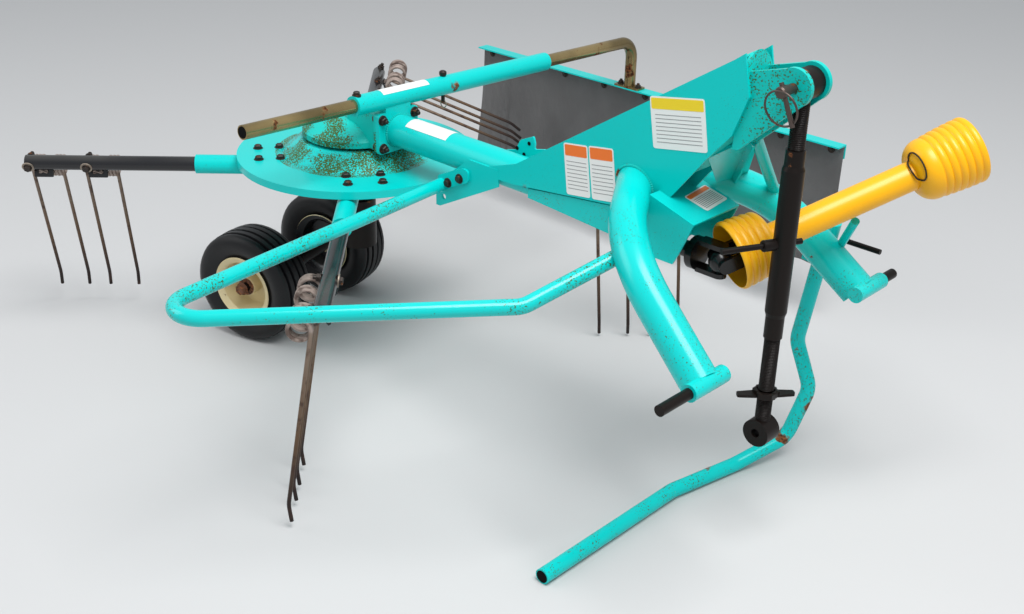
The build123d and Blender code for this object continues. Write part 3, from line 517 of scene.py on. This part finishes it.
def on_arm(name, points):
    """Points given as (out, behind, above) the arm's axis, in the machine's frame."""
    return np.asarray(points, float) @ arm_axes(name) + np.array([0, 0, ARM_Z])


BOOM_AT = np.array([0.148, 0, 0.7226])
BOOM_WAY = heading(91.9, -2.4)
SHAFT_AT, SHAFT_WAY = np.array([1.135, 0, 0.608]), heading(56.4, 21.7)
LINK_AT = np.array([1.275, 0, 1.006])
print("shaft runs", SHAFT_WAY.round(3), "boom runs", BOOM_WAY.round(3))

# %% [markdown]
# ## The double tines
# On the real rake one length of wire makes two fingers: up the first, three turns of coil, a loop that
# is clamped against the arm, three turns back and down the second. The wire's middle line is written
# piece by piece: straight runs, and a helix `(x, behind + R cos a, above + R sin a)` with x moving on
# one wire's width a turn. The whole line is then swept as a tube.

# %% Double tines


def finger(x, towards):
    """From the tip up to the coil, then three turns towards the other finger."""
    back, knee = COIL_BACK - COIL_R, -(COIL_DOWN + TINE)
    straight = smooth_path([
        (x + (TINE + TIP) * FLARE, back - TIP * math.sin(TIP_BEND), knee - TIP * math.cos(TIP_BEND)),
        (x + TINE * FLARE, back, knee), (x, back, -COIL_DOWN)], 0.012, 6)
    a = np.linspace(np.pi, -5 * np.pi, 90)
    turns = np.stack([x + towards * COIL_SPAN * (np.pi - a) / (6 * np.pi), COIL_BACK + COIL_R * np.cos(a),
                      -COIL_DOWN + COIL_R * np.sin(a)], 1)
    along = np.concatenate([np.linspace(1, 0.9, 3), np.linspace(0.9, 0.85, len(straight) - 4), [0.1],
                            np.zeros(len(turns) - 1)])
    return np.concatenate([straight[:-1], turns]), along


def double_tine(outer_x, inner_x):
    """Both fingers and the clamped loop between them, with the wire's own measure at every station."""
    first, first_along = finger(outer_x, -1)
    second, second_along = finger(inner_x, 1)
    clamped = [(outer_x - COIL_SPAN - 0.004, *CLAMPED), (inner_x + COIL_SPAN + 0.004, *CLAMPED)]
    line = np.concatenate([first, clamped, second[::-1]])
    return line, np.concatenate([first_along, [0, 0], second_along[::-1]])


for name in ARMS:
    wires, measures = [], []
    for outer_x, inner_x in FINGERS:
        line, along = double_tine(outer_x, inner_x)
        wires.append(tube(on_arm(name, line), WIRE_R, WIRE_SIDES, across=heading(ARMS[name][0]) + 0.001))
        measures.append(np.repeat(along, WIRE_SIDES))
    tines = make("spring_tines_" + name, joined(wires), spring, "arm_" + name, along=np.concatenate(measures))
    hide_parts("tines_" + name)
print("each double tine has", len(line), "stations")

# %% [markdown]
# ## Bolts
# A hexagon head is a turned profile with six sides, standing on a round washer. One template is set at
# every place by adding its points to the place's own axes, so sixteen bolts are one array.

# %% Bolts


def bolt(head=0.0085, height=0.007, washer=0.012, washer_height=0.0025, stub=0.0):
    """A washer, a chamfered hexagon head and, on a nut, the end of its bolt, standing on z = 0."""
    top = washer_height + height
    parts = [turned([(washer, 0), (washer, washer_height * 0.7), (washer * 0.93, washer_height)], sides=20),
             turned([(head, washer_height), (head, washer_height + height * 0.8), (head * 0.86, top)],
                    sides=6)]
    if stub:
        rod, end = head * 0.52, top + stub
        parts.append(turned([(rod, top - 0.001), (rod, end), (head * 0.42, end + 0.0012)], sides=12))
    return joined(parts)


def set_at(template, places, axes):
    """The template repeated: place + x * side + y * other side + z * axis, for every place at once."""
    points, faces = template
    axes = unit(np.broadcast_to(axes, (len(places), 3)))
    helper = np.where(np.abs(axes[:, 2:]) < 0.9, [[0, 0, 1.0]], [[1.0, 0, 0]])
    side = unit(np.cross(axes, helper))
    own_axes = np.stack([side, np.cross(axes, side), axes], 1)
    put = np.asarray(places)[:, None] + points @ own_axes
    steps = np.arange(len(places)) * len(points)
    return put.reshape(-1, 3), [[k + int(s) for k in face] for s in steps for face in faces]


def bolts(name, template, places, axis, body, metal=bolt_steel):
    """One piece of equal bolts with flat facets, a bolt at each place."""
    make(name, set_at(template, places, axis), metal, body, smooth=False)


DISC_TOP = 0.550
groups = []
for degrees, _ in ARMS.values():
    out_way, aside = heading(degrees + 10), heading(degrees + 100)
    groups += [out_way * r + aside * s for r in (0.193, 0.247) for s in (-0.042, 0.042)]
disc_places = np.array(groups) + [0, 0, DISC_TOP]
bolts("disc_bolts", bolt(0.0095, 0.0075, 0.0125, 0.002), disc_places, (0, 0, 1), "rotor")

FLANGE_X, FLANGE_THICK = 0.167, 0.020
flange = np.array([(FLANGE_X, y, z) for y in (-0.052, 0.052) for z in (0.607, 0.679)])
bolts("flange_nuts", bolt(0.010, 0.009, 0.013, 0.0025, 0.006), flange, (1, 0, 0), "frame")
bolts("flange_bolts", bolt(0.010, 0.007, 0.013, 0.0025), flange - [FLANGE_THICK, 0, 0], (-1, 0, 0), "frame")

BOLT_OUT, CLAMP_OUT, BOLT_BACK = (0.838, 0.690), (0.805, 0.666), ARM_R - 0.001
clamp = rounded(oblong(-0.024, 0.024, -0.010, 0.010), 0.003)
for name in ARMS:
    out_way, behind, above = arm_axes(name)
    front = on_arm(name, [(x, -BOLT_BACK, 0.001) for x in BOLT_OUT])
    rear = on_arm(name, [(x, BOLT_BACK, 0.001) for x in BOLT_OUT])
    make("tine_washers_" + name, set_at(turned([(0.015, 0), (0.015, 0.003)], sides=24), front, -behind),
         washer_steel, "arm_" + name)
    make("tine_bolts_" + name, joined([set_at(bolt(0.0095, 0.007, 0.011, 0.0045), front, -behind),
                                       set_at(bolt(0.0095, 0.007, 0.011, 0.003, 0.006), rear, behind)]),
         bolt_steel, "arm_" + name, smooth=False)
    clamps = [slab(clamp, on_arm(name, [(x, -0.014, -0.0255)])[0], out_way, behind + above, 0.005)
              for x in CLAMP_OUT]
    make("tine_clamps_" + name, joined(clamps), black, "arm_" + name)
print(len(disc_places), "bolts on the disc")

# %% [markdown]
# ## Wheels
# The tyre is a turned profile with ribs running round it: narrow grooves lower the tread's radius and
# leave 5 ribs. Half of it is written down, and the other half is its mirror image. The rim is a pressed
# dish with a rolled edge and a hub with a washer and a nut; a black sheet just inside its inner side is
# painted shade, the darkness deep in the wheel.

# %% Wheels
TYRE_R, CASTOR_YAW, TRAIL, ASIDE, HALF_TRACK = 0.1545, 14.4, 0.2665, 0.056, 0.1765
AXLE_WAY = -heading(CASTOR_YAW - 90)
axle_mid = heading(180 + CASTOR_YAW) * TRAIL + AXLE_WAY * ASIDE + np.array([0, 0, TYRE_R])
tread_half = np.array([
    (TYRE_R, 0.0085), (0.147, 0.0105), (0.147, 0.0145), (0.1535, 0.0165), (0.1535, 0.0305), (0.146, 0.0325),
    (0.146, 0.0365), (0.1515, 0.0385), (0.1515, 0.046), (0.1475, 0.053), (0.134, 0.0605), (0.118, 0.0615),
    (0.098, 0.052), (0.077, 0.044)])
tread = np.concatenate([tread_half[::-1] * [1, -1], tread_half])
dish = np.array([
    (0.0127, -0.050), (0.026, -0.050), (0.026, -0.012), (0.040, -0.010), (0.066, -0.014), (0.0715, -0.030),
    (0.072, -0.046), (0.077, -0.0525), (0.0885, -0.0565), (0.0905, -0.0545), (0.079, -0.0475),
    (0.0765, -0.042), (0.0765, 0.042), (0.079, 0.0475), (0.0905, 0.0545), (0.0885, 0.0565),
    (0.077, 0.0525), (0.072, 0.046), (0.0715, 0.004), (0.066, -0.008), (0.040, -0.004), (0.026, -0.002),
    (0.026, 0.034), (0.0127, 0.034)])
# Painted shade: a thin black sheet that follows the dish on its inner side, so the inside of the wheel reads
# dark.
rim_shade_sheet = np.array([(0.0275, -0.0125), (0.040, -0.0107), (0.0655, -0.0147), (0.0708, -0.0300),
                  (0.0713, -0.0465), (0.0768, -0.0532), (0.0885, -0.0573)])
rim_shade_sheet = np.concatenate([rim_shade_sheet, rim_shade_sheet[::-1] - [0, 0.0008]])
washer = [(0.0135, 0.034), (0.024, 0.034), (0.024, 0.037), (0.0135, 0.037)]
valve = [(0.004, 0), (0.004, 0.014), (0.0025, 0.022)]
for side, name in ((-1, "right"), (1, "left")):
    hub, outward = axle_mid + AXLE_WAY * side * HALF_TRACK, AXLE_WAY * side
    body = "wheel_" + name
    tyre = make("ribbed_tyre_" + name, turned(tread, hub, outward, 48, ring=True), rubber, body)
    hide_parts("tyre_" + name)
    rim = make("dished_rim_" + name, turned(dish, hub, outward, 56, ring=True), cream, body)
    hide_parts("rim_" + name)
    make("hub_washer_" + name, turned(washer, hub, outward, 24, ring=True), rusty_iron, body)
    # The black sheet on the rim's inner side is painted shade inside the wheel.
    make("rim_shade_" + name, turned(rim_shade_sheet, hub, outward, 56, ring=True), black, body)
    bolts("axle_nut_" + name, bolt(0.015, 0.012, 0.018, 0.002), [hub + outward * 0.052], outward, "castor",
          rusty_iron)
    valve_at = hub + unit(np.cross(outward, heading(30, 40))) * 0.054 - outward * 0.006
    make("valve_" + name, turned(valve, valve_at, outward, 10), black, body)
print("wheel hubs near", (axle_mid + AXLE_WAY * HALF_TRACK).round(3))

# %% [markdown]
# ## The canvas curtain
# A heavy coated canvas hangs from a steel angle. It is a thin sheet whose distance from the rail's
# plane is a few slow waves that grow towards the free lower edge, with a narrow flap at the rear that
# curls in. Both faces are made at once, 1.6 mm apart.

# %% Curtain
_, rail_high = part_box("curtain_rail")
CLOTH_Y = rail_high[1] - 0.004 - 0.002
CLOTH_TOP, CLOTH_FOOT, CLOTH_HALF = rail_high[2] - 0.005, 0.180, 0.0008


def cloth(x0, x1, foot, wave, curl=0.0, columns=120, rows=36):
    """A hung sheet: y = rail plane - sag(s) * waves(x), where s runs from 0 at the rail to 1 at the foot."""
    u, s = np.meshgrid(np.linspace(0, 1, columns), np.linspace(0, 1, rows), indexing="ij")
    waves = np.sin(9.0 * u + 0.6) + 0.5 * np.sin(23 * u + 2 * s) + 0.25 * np.sin(47 * u - 3 * s)
    y = CLOTH_Y - 0.004 - np.abs(wave * s ** 1.4 * waves) - curl * s ** 2 * (1 - u) ** 2
    middle = np.stack([x0 + (x1 - x0) * u, y, CLOTH_TOP + (foot - CLOTH_TOP) * s], -1)
    out_way = unit(np.cross(np.gradient(middle, axis=0), np.gradient(middle, axis=1))) * CLOTH_HALF
    return shell(np.concatenate([middle + out_way, (middle - out_way)[:, ::-1]], 1))


canvas = finish("grey coated canvas", (0.135, 0.132, 0.132), 0.5, shade=0.30)
tree = canvas.node_tree
crease = noise(tree, 14.0, 5.0, stretch=(1, 1, 0.45))
weave = noise(tree, 900.0, 1.0)
height = math_step(tree, "MULTIPLY_ADD", crease, 6.0, weave)
relief = node(tree, "ShaderNodeBump", Height=height, Strength=0.7, Distance=0.004)
tree.links.new(relief.outputs[0], tree.nodes["Principled BSDF"].inputs["Normal"])
curtain = make("canvas_curtain", cloth(-0.384, 0.847, CLOTH_FOOT, 0.015), canvas, "curtain")
flap = make("canvas_flap", cloth(-0.508, -0.3855, CLOTH_FOOT + 0.02, 0.004, curl=0.03, columns=24),
            canvas, "curtain")
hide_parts("curtain_canvas")
rail_bolts = [(x, CLOTH_Y - 0.006, CLOTH_TOP - 0.014) for x in np.linspace(-0.47, 0.81, 9)]
bolts("rail_bolts", bolt(0.006, 0.004, 0.011, 0.0015), rail_bolts, (0, -1, 0), "curtain")
print("canvas from", round(CLOTH_TOP, 3), "down to", CLOTH_FOOT)

# %% [markdown]
# ## The top link and its pin
# The link's rods are threaded: the radius is `R + depth * wave(height / pitch - angle)`, which makes a
# real spiral because the wave is shifted once per turn. A linch pin with a spring ring keeps the upper
# pin in, and a lock nut with a tab sits under the barrel.

# %% Top link


def threaded(low, high, radius=0.0155, pitch=0.0035, depth=0.0009, sides=24):
    """An upright threaded rod on the link's own line: r = radius + depth * cos(2 pi z / pitch - a)."""
    heights = np.linspace(low, high, int((high - low) / pitch * 4))
    z, a = np.meshgrid(heights, np.linspace(0, 2 * np.pi, sides, endpoint=False), indexing="ij")
    r = radius + depth * np.cos(2 * np.pi * z / pitch - a)
    return shell(np.stack([link_x + r * np.cos(a), r * np.sin(a), z], -1))


link_x = LINK_AT[0]
make("link_threads", joined([threaded(0.301, 0.3515), threaded(0.3685, 0.4875), threaded(0.8825, 0.972)]),
     forged, "top_link")
nut = [(0.020, 0.352), (0.0275, 0.354), (0.0275, 0.366), (0.020, 0.368)]
make("link_nut", turned(nut, (link_x, 0, 0), sides=6), forged, "top_link", smooth=False)
tab = rounded([(-0.060, -0.008), (-0.018, -0.012), (-0.018, 0.012), (-0.060, 0.008)], 0.005)
tabs = [slab(tab * flip, (link_x, 0, 0.3535), heading(48), heading(138), 0.006) for flip in ([1, 1], [-1, 1])]
make("nut_tab", joined(tabs), forged, "top_link")
ball = [(0.0105, -0.021), (0.019, -0.021), (0.0245, -0.012), (0.0265, 0), (0.0245, 0.012), (0.019, 0.021),
        (0.0105, 0.021)]
make("link_ball", turned(ball, (link_x, 0, 0.271), (0, 1, 0), 32, ring=True), bare, "top_link")
boss = [(0.011, 0.017), (0.0118, 0.019), (0.0118, 0.046), (0.0102, 0.048)]
make("bar_boss", turned(boss, (link_x, 0, 0.691), -heading(63.5), 20), forged, "top_link")

a = np.linspace(0, 2 * np.pi, 49)[:, None]
ring_line = LINK_AT + [0.002, -0.073, -0.030] + np.cos(a) * [0.034, 0, 0] + np.sin(a) * [0, -0.008, 0.034]
make("linch_pin", joined([
    tube(ring_line, 0.0022, 8, across=(0, 1, 0)),
    tube(LINK_AT + [(-0.006, -0.069, 0.016), (0.028, -0.070, -0.060)], 0.0046, 12, across=(0, 1, 0)),
    turned([(0.0092, 0), (0.0115, -0.003), (0.0115, -0.021), (0.009, -0.024)], LINK_AT + [0, -0.057, 0],
           (0, 1, 0), 20)]), bare, "frame")
head = [(0.016, 0), (0.016, 0.006), (0.014, 0.008)]
make("pin_head", turned(head, LINK_AT + [0, 0.0575, 0], (0, 1, 0), 24), bare, "frame")
print("the link's pin is", round(LINK_AT[2], 3), "m above the floor")

# %% [markdown]
# ## The drive shaft's guards
# Each half of the guard is one plastic moulding: a bell with round ribs, a domed shoulder and a tube.
# The near bell is soft and sits seven degrees askew, tipped away from the front right, and a dark collar
# stands deep in its mouth, where the joint is. The ribs come from a formula, `r = outer - groove * (1 -
# |sin(pi (d - start) / pitch)| ^ 0.6)`, which is wide at the crests and narrow in the grooves.

# %% Guards


def bell_profile(mouth, shoulder, neck, tube_end, bell_r, neck_r, pitch=0.0155, groove=0.0038, wall=0.003):
    """Radius and distance along the shaft: ribs from the mouth to the shoulder, a quarter of an ellipse
    from there to the neck, the tube, and the same way back one wall further in."""
    d = np.linspace(mouth, shoulder, 120)
    ribs = bell_r - groove * (1 - np.abs(np.sin(np.pi * (d - mouth) / pitch)) ** 0.6)
    ribs -= 0.006 * np.abs((d - mouth) / (shoulder - mouth)) ** 2
    t = np.linspace(0, np.pi / 2, 14)[1:]
    dome = neck_r + (ribs[-1] - neck_r) * np.cos(t)
    dome_d = shoulder + (neck - shoulder) * np.sin(t)
    outside = np.stack([np.r_[ribs, dome, neck_r], np.r_[d, dome_d, tube_end]], 1)
    flat = np.r_[np.linspace(bell_r - 0.0055, bell_r - 0.011, len(d)), dome - wall - 0.002, neck_r - wall]
    inside = np.stack([flat, np.r_[d, dome_d - np.sign(neck - shoulder) * wall, tube_end]], 1)
    return np.concatenate([outside, inside[::-1]])


def plain_tube(low, high, radius, wall=0.003):
    """A short straight tube along the shaft."""
    return [(radius, low), (radius, high), (radius - wall, high), (radius - wall, low)]


NECK, SHOULDER, OUTER_NECK, INNER_R = 0.106, 0.462, 0.426, 0.0272
SLACK, SEEN_FROM = math.radians(7), np.array([2.45, -2.02, 1.68])
seen_way = unit(SEEN_FROM - SHAFT_AT)
aside = unit(-seen_way + SHAFT_WAY * (seen_way @ SHAFT_WAY))
bell_way = math.cos(SLACK) * SHAFT_WAY + math.sin(SLACK) * aside
bell_at = SHAFT_AT + NECK * (SHAFT_WAY - bell_way)
inner_shape = bell_profile(0.018, 0.088, NECK, NECK + 0.002, 0.073, INNER_R)
inner_bell = turned(inner_shape, bell_at, bell_way, 64, ring=True)
inner_tube = turned(plain_tube(NECK - 0.001, 0.326, INNER_R), SHAFT_AT, SHAFT_WAY, 40, ring=True)
outer_shape = bell_profile(0.562, SHOULDER, OUTER_NECK, 0.112, 0.071, 0.0305)
outer_guard = turned(outer_shape, SHAFT_AT, SHAFT_WAY, 64, ring=True)
for name, body, shape in (("inner", "drive_shaft", joined([inner_bell, inner_tube])),
                          ("outer", "drive_shaft_outer", outer_guard)):
    guard = make("ribbed_guard_" + name, shape, yellow, body)
    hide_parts("shaft_" + name + "_guard")
collar = [(0.022, 0.040), (0.034, 0.043), (0.040, 0.054), (0.040, 0.082), (0.022, 0.086)]
make("joint_collar", turned(collar, SHAFT_AT, SHAFT_WAY, 28, ring=True), greasy, "drive_shaft")
print("guards:", len(outer_shape), "points in the outer profile")

# %% [markdown]
# ## Labels
# The stickers are blank: a pale sheet with rounded corners and a coloured band, a hair proud of the
# paint. Faint grey rules stand where printing would be.

# %% Labels


def sticker(name, corners, band, side_out):
    """A thin sheet between four corners (lower left first), its band across the top and its rules."""
    corners = np.asarray(corners, float)
    ex, up_way = corners[1] - corners[0], corners[3] - corners[0]
    width, ex = np.linalg.norm(ex), unit(ex)
    ey = unit(up_way - ex * (up_way @ ex))
    tall = up_way @ ey
    if np.cross(ex, ey) @ np.asarray(side_out) < 0:
        corners, ex = corners[[1, 0, 3, 2]], -ex
    sheet = rounded(oblong(0, width, 0, tall), 0.006)
    top = rounded(oblong(0.003, width - 0.003, tall * 0.76, tall - 0.003), 0.003)
    rules = [slab(oblong(0.08 * width, 0.92 * width, t * tall, t * tall + 0.0016), corners[0], ex, ey, 0.0007)
             for t in np.arange(0.12, 0.70, 0.075)]
    make(name, slab(sheet, corners[0], ex, ey, 0.0005), label_white, "frame")
    make(name + "_band", slab(top, corners[0], ex, ey, 0.0008), band, "frame")
    make(name + "_rules", joined(rules), label_grey, "frame")


label_white = finish("label white", (0.80, 0.80, 0.78), 0.4, dusty=0.15)
label_grey = finish("label grey", (0.28, 0.28, 0.28), 0.5)
label_orange = finish("label orange", (0.85, 0.17, 0.015), 0.4)
label_yellow = finish("label yellow", (0.85, 0.62, 0.01), 0.4)
PLATE_Y, HOOD_UP = -0.0452, (0.284, 0, 0.959)
for name, places, band in (
        ("wide", [(0.981, 0.819), (1.111, 0.842), (1.128, 0.955), (1.000, 0.929)], label_yellow),
        ("rear", [(0.759, 0.657), (0.825, 0.666), (0.850, 0.786), (0.788, 0.776)], label_orange),
        ("front", [(0.830, 0.666), (0.896, 0.676), (0.919, 0.799), (0.856, 0.787)], label_orange)):
    sticker("plate_label_" + name, [(x, PLATE_Y, z) for x, z in places], band, (0, -1, 0))
sticker("hood_label", [(1.0985, -0.009, 0.7075), (1.0905, 0.072, 0.7099), (1.0290, 0.076, 0.7281),
                       (1.0425, -0.007, 0.7241)], label_orange, HOOD_UP)


def wrapped(start, way, up, radius, length, low, high, thickness=0.0005, steps=24):
    """A sheet laid round a tube: start + t * way + r * (cos a * up + sin a * side), between two angles
    from the top and at two radii that differ by its thickness."""
    way, up = unit(way), np.asarray(up, float)
    up = unit(up - way * (up @ way))
    side = np.cross(way, up)
    a = np.radians(np.linspace(low, high, steps))
    a, r = np.concatenate([a, a[::-1]]), np.repeat([radius + 0.0003, radius + 0.0003 + thickness], steps)
    loop = r[:, None] * (np.cos(a)[:, None] * up + np.sin(a)[:, None] * side)
    return shell(np.asarray(start) + np.stack([loop, loop + length * way]))


BEAM_Z, BEAM_R = 0.643, 0.040
make("beam_label", wrapped((0.222, 0, BEAM_Z), (1, 0, 0), (0, 0, 1), BEAM_R, 0.140, -22, 44), label_white,
     "frame")
make("sleeve_label", wrapped(BOOM_AT - 0.048 * BOOM_WAY, BOOM_WAY, (0, 0, 1), 0.0245, 0.156, -40, 46),
     label_white, "frame")
print("labels stand on the plate, the hood, the beam and the sleeve")

# %% [markdown]
# ## Welds and the side guard's end
# A weld bead is a tube along an ellipse, whose own thickness ripples as the welder moved on. The side
# guard ends in a flattened tab with two bolts, and the heat of a weld has left rusty scars on the beam.

# %% Welds and guard end


def bead(centre, long_way, short_way, long_half, short_half, size=0.0034, ripples=60):
    """A tube along centre + long_half * cos(a) * long way + short_half * sin(a) * short way, whose
    thickness is size * (1 + 0.25 * cos(ripples * a))."""
    a = np.linspace(0, 2 * np.pi, ripples * 4 + 1)
    line = np.asarray(centre) + np.cos(a)[:, None] * long_half * unit(long_way) \
        + np.sin(a)[:, None] * short_half * unit(short_way)
    return tube(line, size * (1 + 0.25 * np.cos(a * ripples)), 8, across=np.cross(long_way, short_way))


BEAM_DOWN, BEAM_UP = (0.966, 0, -0.259), (0.259, 0, 0.966)
beads = [bead((0.1672, 0, BEAM_Z), (0, -1, 0.2), (0, -0.2, -1), 0.0405, 0.0405, 0.0032, 46)]
for side in (-1, 1):
    beads.append(bead((0.9393, side * 0.0455, 0.7283), BEAM_DOWN, BEAM_UP, 0.0468, 0.0388))
make("weld_beads", joined(beads), weld, "frame")
scars = [wrapped((0.462 + 0.0016 * k, 0, BEAM_Z), (1, 0, 0), (0, 0, 1), 0.0398, 0.010, 74 + 3 * k, 79 + 3 * k)
         for k in range(12)]
make("burnt_seam", joined(scars), rusty_iron, "frame")

guard_tab = rounded([(0.368, 0.556), (0.462, 0.600), (0.462, 0.628), (0.446, 0.632), (0.360, 0.592)], 0.008)
make("guard_tab", slab(guard_tab, (0, -0.0463, 0), (1, 0, 0), (0, 0, 1), 0.006), teal, "frame")
bolts("guard_bolts", bolt(0.0085, 0.006, 0.012, 0.002), [(0.396, -0.0523, 0.5825), (0.434, -0.0523, 0.603)],
      (0, -1, 0), "frame")
print(len(beads), "weld beads,", len(scars), "scars")

# %% [markdown]
# ## Pins of the boom and the stand
# The boom slides in its sleeve: a bolt clamps it, and a pin with a spring ring stops it from sliding
# out. The stand's tube is held in its sleeve by a pin with a round head.

# %% Boom and stand pins


def along_boom(t, up=0.0):
    """A point at a distance along the boom, and so far above its middle."""
    return BOOM_AT + t * BOOM_WAY + np.array([0, 0, up])


PIN_T, STAND_Y = 0.174, 0.348
bolts("boom_lock_bolt", bolt(0.008, 0.007, 0.011, 0.006), [along_boom(-0.118, 0.0215)], (0, 0, 1), "frame")
pin_line = [along_boom(PIN_T, 0.036), along_boom(PIN_T, -0.044)]
pin_collar = turned([(0.007, 0), (0.0095, 0.004), (0.0095, 0.011), (0.006, 0.014)], along_boom(PIN_T, 0.0245),
                    (0, 0, 1), 16)
make("boom_pin", joined([tube(pin_line, 0.005, 12, across=(0, 1, 0)), pin_collar]), bolt_steel, "frame")
a = np.linspace(0, 2 * np.pi, 25)[:, None]
pin_ring = along_boom(0.176, -0.048) + np.cos(a) * [0.010, 0, 0] + np.sin(a) * [0, 0, 0.010]
make("boom_pin_ring", tube(pin_ring, 0.0013, 6, across=(0, 1, 0)), washer_steel, "frame")

rod = np.array([(1.213, STAND_Y, 0.574), (1.305, STAND_Y, 0.574)])
make("stand_pin", joined([tube(rod, 0.006, 12, across=(0, 1, 0)),
                          turned([(0.010, 0), (0.010, 0.008)], rod[0], (1, 0, 0), 16)]), forged, "frame")

print("the boom's pin stands at", along_boom(PIN_T).round(3))

# %% [markdown]
# ## Clip and bracket
# A wire clip grips the outer guard where its tube meets the dome. It is a closed loop whose radius
# follows the dome, `r = neck + rise * sqrt(1 - q^2)`, so it lies on the plastic all the way round. The
# bracket of the stay is a plate on the far side of the beam; its three holes are dark discs of painted
# shade.

# %% Clip and bracket
CLIP_AT = 0.4270
side_way = unit(np.cross(SHAFT_WAY, (0, 0, 1)))
over = np.cross(side_way, SHAFT_WAY)
a = np.linspace(0, 2 * np.pi, 60)
round_way, clip_d = np.radians(48 + 40 * np.cos(a)), CLIP_AT + 0.0095 * np.sin(a)
q = np.clip((SHOULDER - clip_d) / (SHOULDER - OUTER_NECK), 0, 1)
clip_r = 0.0355 + 0.0345 * np.sqrt(1 - q ** 2)
clip_line = SHAFT_AT + clip_d[:, None] * SHAFT_WAY + clip_r[:, None] * (
    np.cos(round_way)[:, None] * side_way + np.sin(round_way)[:, None] * over)
make("guard_clip", tube(clip_line, 0.0018, 8, across=SHAFT_WAY + 0.01), bolt_steel, "drive_shaft_outer")

stay_bracket = rounded([(0.486, 0.650), (0.486, 0.664), (0.518, 0.672), (0.533, 0.700), (0.573, 0.718),
                        (0.579, 0.700), (0.577, 0.688), (0.610, 0.696), (0.610, 0.650)], 0.005)
make("stay_bracket", slab(stay_bracket, (0, 0.0465, 0), (1, 0, 0), (0, 0, 1), -0.005), teal, "frame")
# The holes are not cut: three near-black discs on the plate paint the shade seen through them.
holes = [(0.524, 0.0462, 0.678), (0.561, 0.0462, 0.698), (0.546, 0.0462, 0.668)]
make("bracket_hole_shade", set_at(turned([(0.0048, 0), (0.0048, 0.0006)], sides=16), holes, (0, -1, 0)), painted_hole_shade,
     "frame")
print("clip from", clip_d.min().round(4), "to", clip_d.max().round(4), "m along the shaft")

# %% [markdown]
# ## The boom's foot and the open tubes
# At its far end the boom stands on a small plate that is bolted to the curtain's rail. The tubes of the
# boom and the stand are open; a near-black disc in each mouth is painted shade for the inside.

# %% Boom foot and mouths
boom_foot = along_boom(0.976)
foot_plate = rounded(oblong(-0.046, 0.046, -0.019, 0.019), 0.006)
plate_at = np.array([boom_foot[0], rail_high[1] - 0.0205, rail_high[2]])
make("boom_foot_plate", slab(foot_plate, plate_at, (1, 0, 0), (0, 1, 0), 0.005), zinc, "curtain")
bolts("boom_foot_bolts", bolt(0.0085, 0.006, 0.011, 0.002, 0.004),
      plate_at + [(-0.033, 0, 0.005), (0.033, 0, 0.005)], (0, 0, 1), "curtain")

# Each mouth gets a flat near-black disc: painted shade standing in for the dark inside of the tube.
mouth = [(0.0138, 0), (0.0138, 0.0008)]
make("boom_mouth", turned(mouth, along_boom(-0.4562), -BOOM_WAY, 24), painted_hole_shade, "curtain")
make("stand_mouth", turned(mouth, (1.068, -0.434, 0.017), (0, -1, 0), 24), painted_hole_shade, "stand")
print("the boom's foot is at", boom_foot.round(3))

# %% [markdown]
# ## Light and floor
# A pale floor carries the shadow. One large soft light stands above and to the right, a weaker one
# fills from the left, and the sky is an even pale grey, so that a colour renders about as it is written.

# %% Light and floor
FLOOR_HALF, SKY, SKY_STRENGTH = 12.0, (0.86, 0.90, 0.94, 1), 0.62
ground = bpy.data.meshes.new("floor")
ground.from_pydata(np.insert(oblong(-FLOOR_HALF, FLOOR_HALF, -FLOOR_HALF, FLOOR_HALF), 2, 0, axis=1).tolist(),
                   [], [(0, 1, 2, 3)])
floor = bpy.data.objects.new("floor", ground)
scene.collection.objects.link(floor)
ground.materials.append(finish("pale floor", (0.56, 0.56, 0.56), 0.9))


def area_light(name, place, target, size, watts):
    """A square lamp that looks at the target."""
    lamp = bpy.data.objects.new(name, bpy.data.lights.new(name, "AREA"))
    lamp.data.size, lamp.data.energy = size, watts
    lamp.location = place
    lamp.rotation_euler = (Vector(target) - Vector(place)).to_track_quat("-Z", "Y").to_euler()
    scene.collection.objects.link(lamp)


area_light("key", (2.4, -0.6, 4.8), (0.4, 0, 0.4), 2.6, 250)
area_light("fill", (-3.2, -3.2, 3.2), (0.3, 0, 0.4), 3.0, 60)
world = bpy.data.worlds.new("sky")
scene.world = world
world.use_nodes = True
world.node_tree.nodes["Background"].inputs["Color"].default_value = SKY
world.node_tree.nodes["Background"].inputs["Strength"].default_value = SKY_STRENGTH
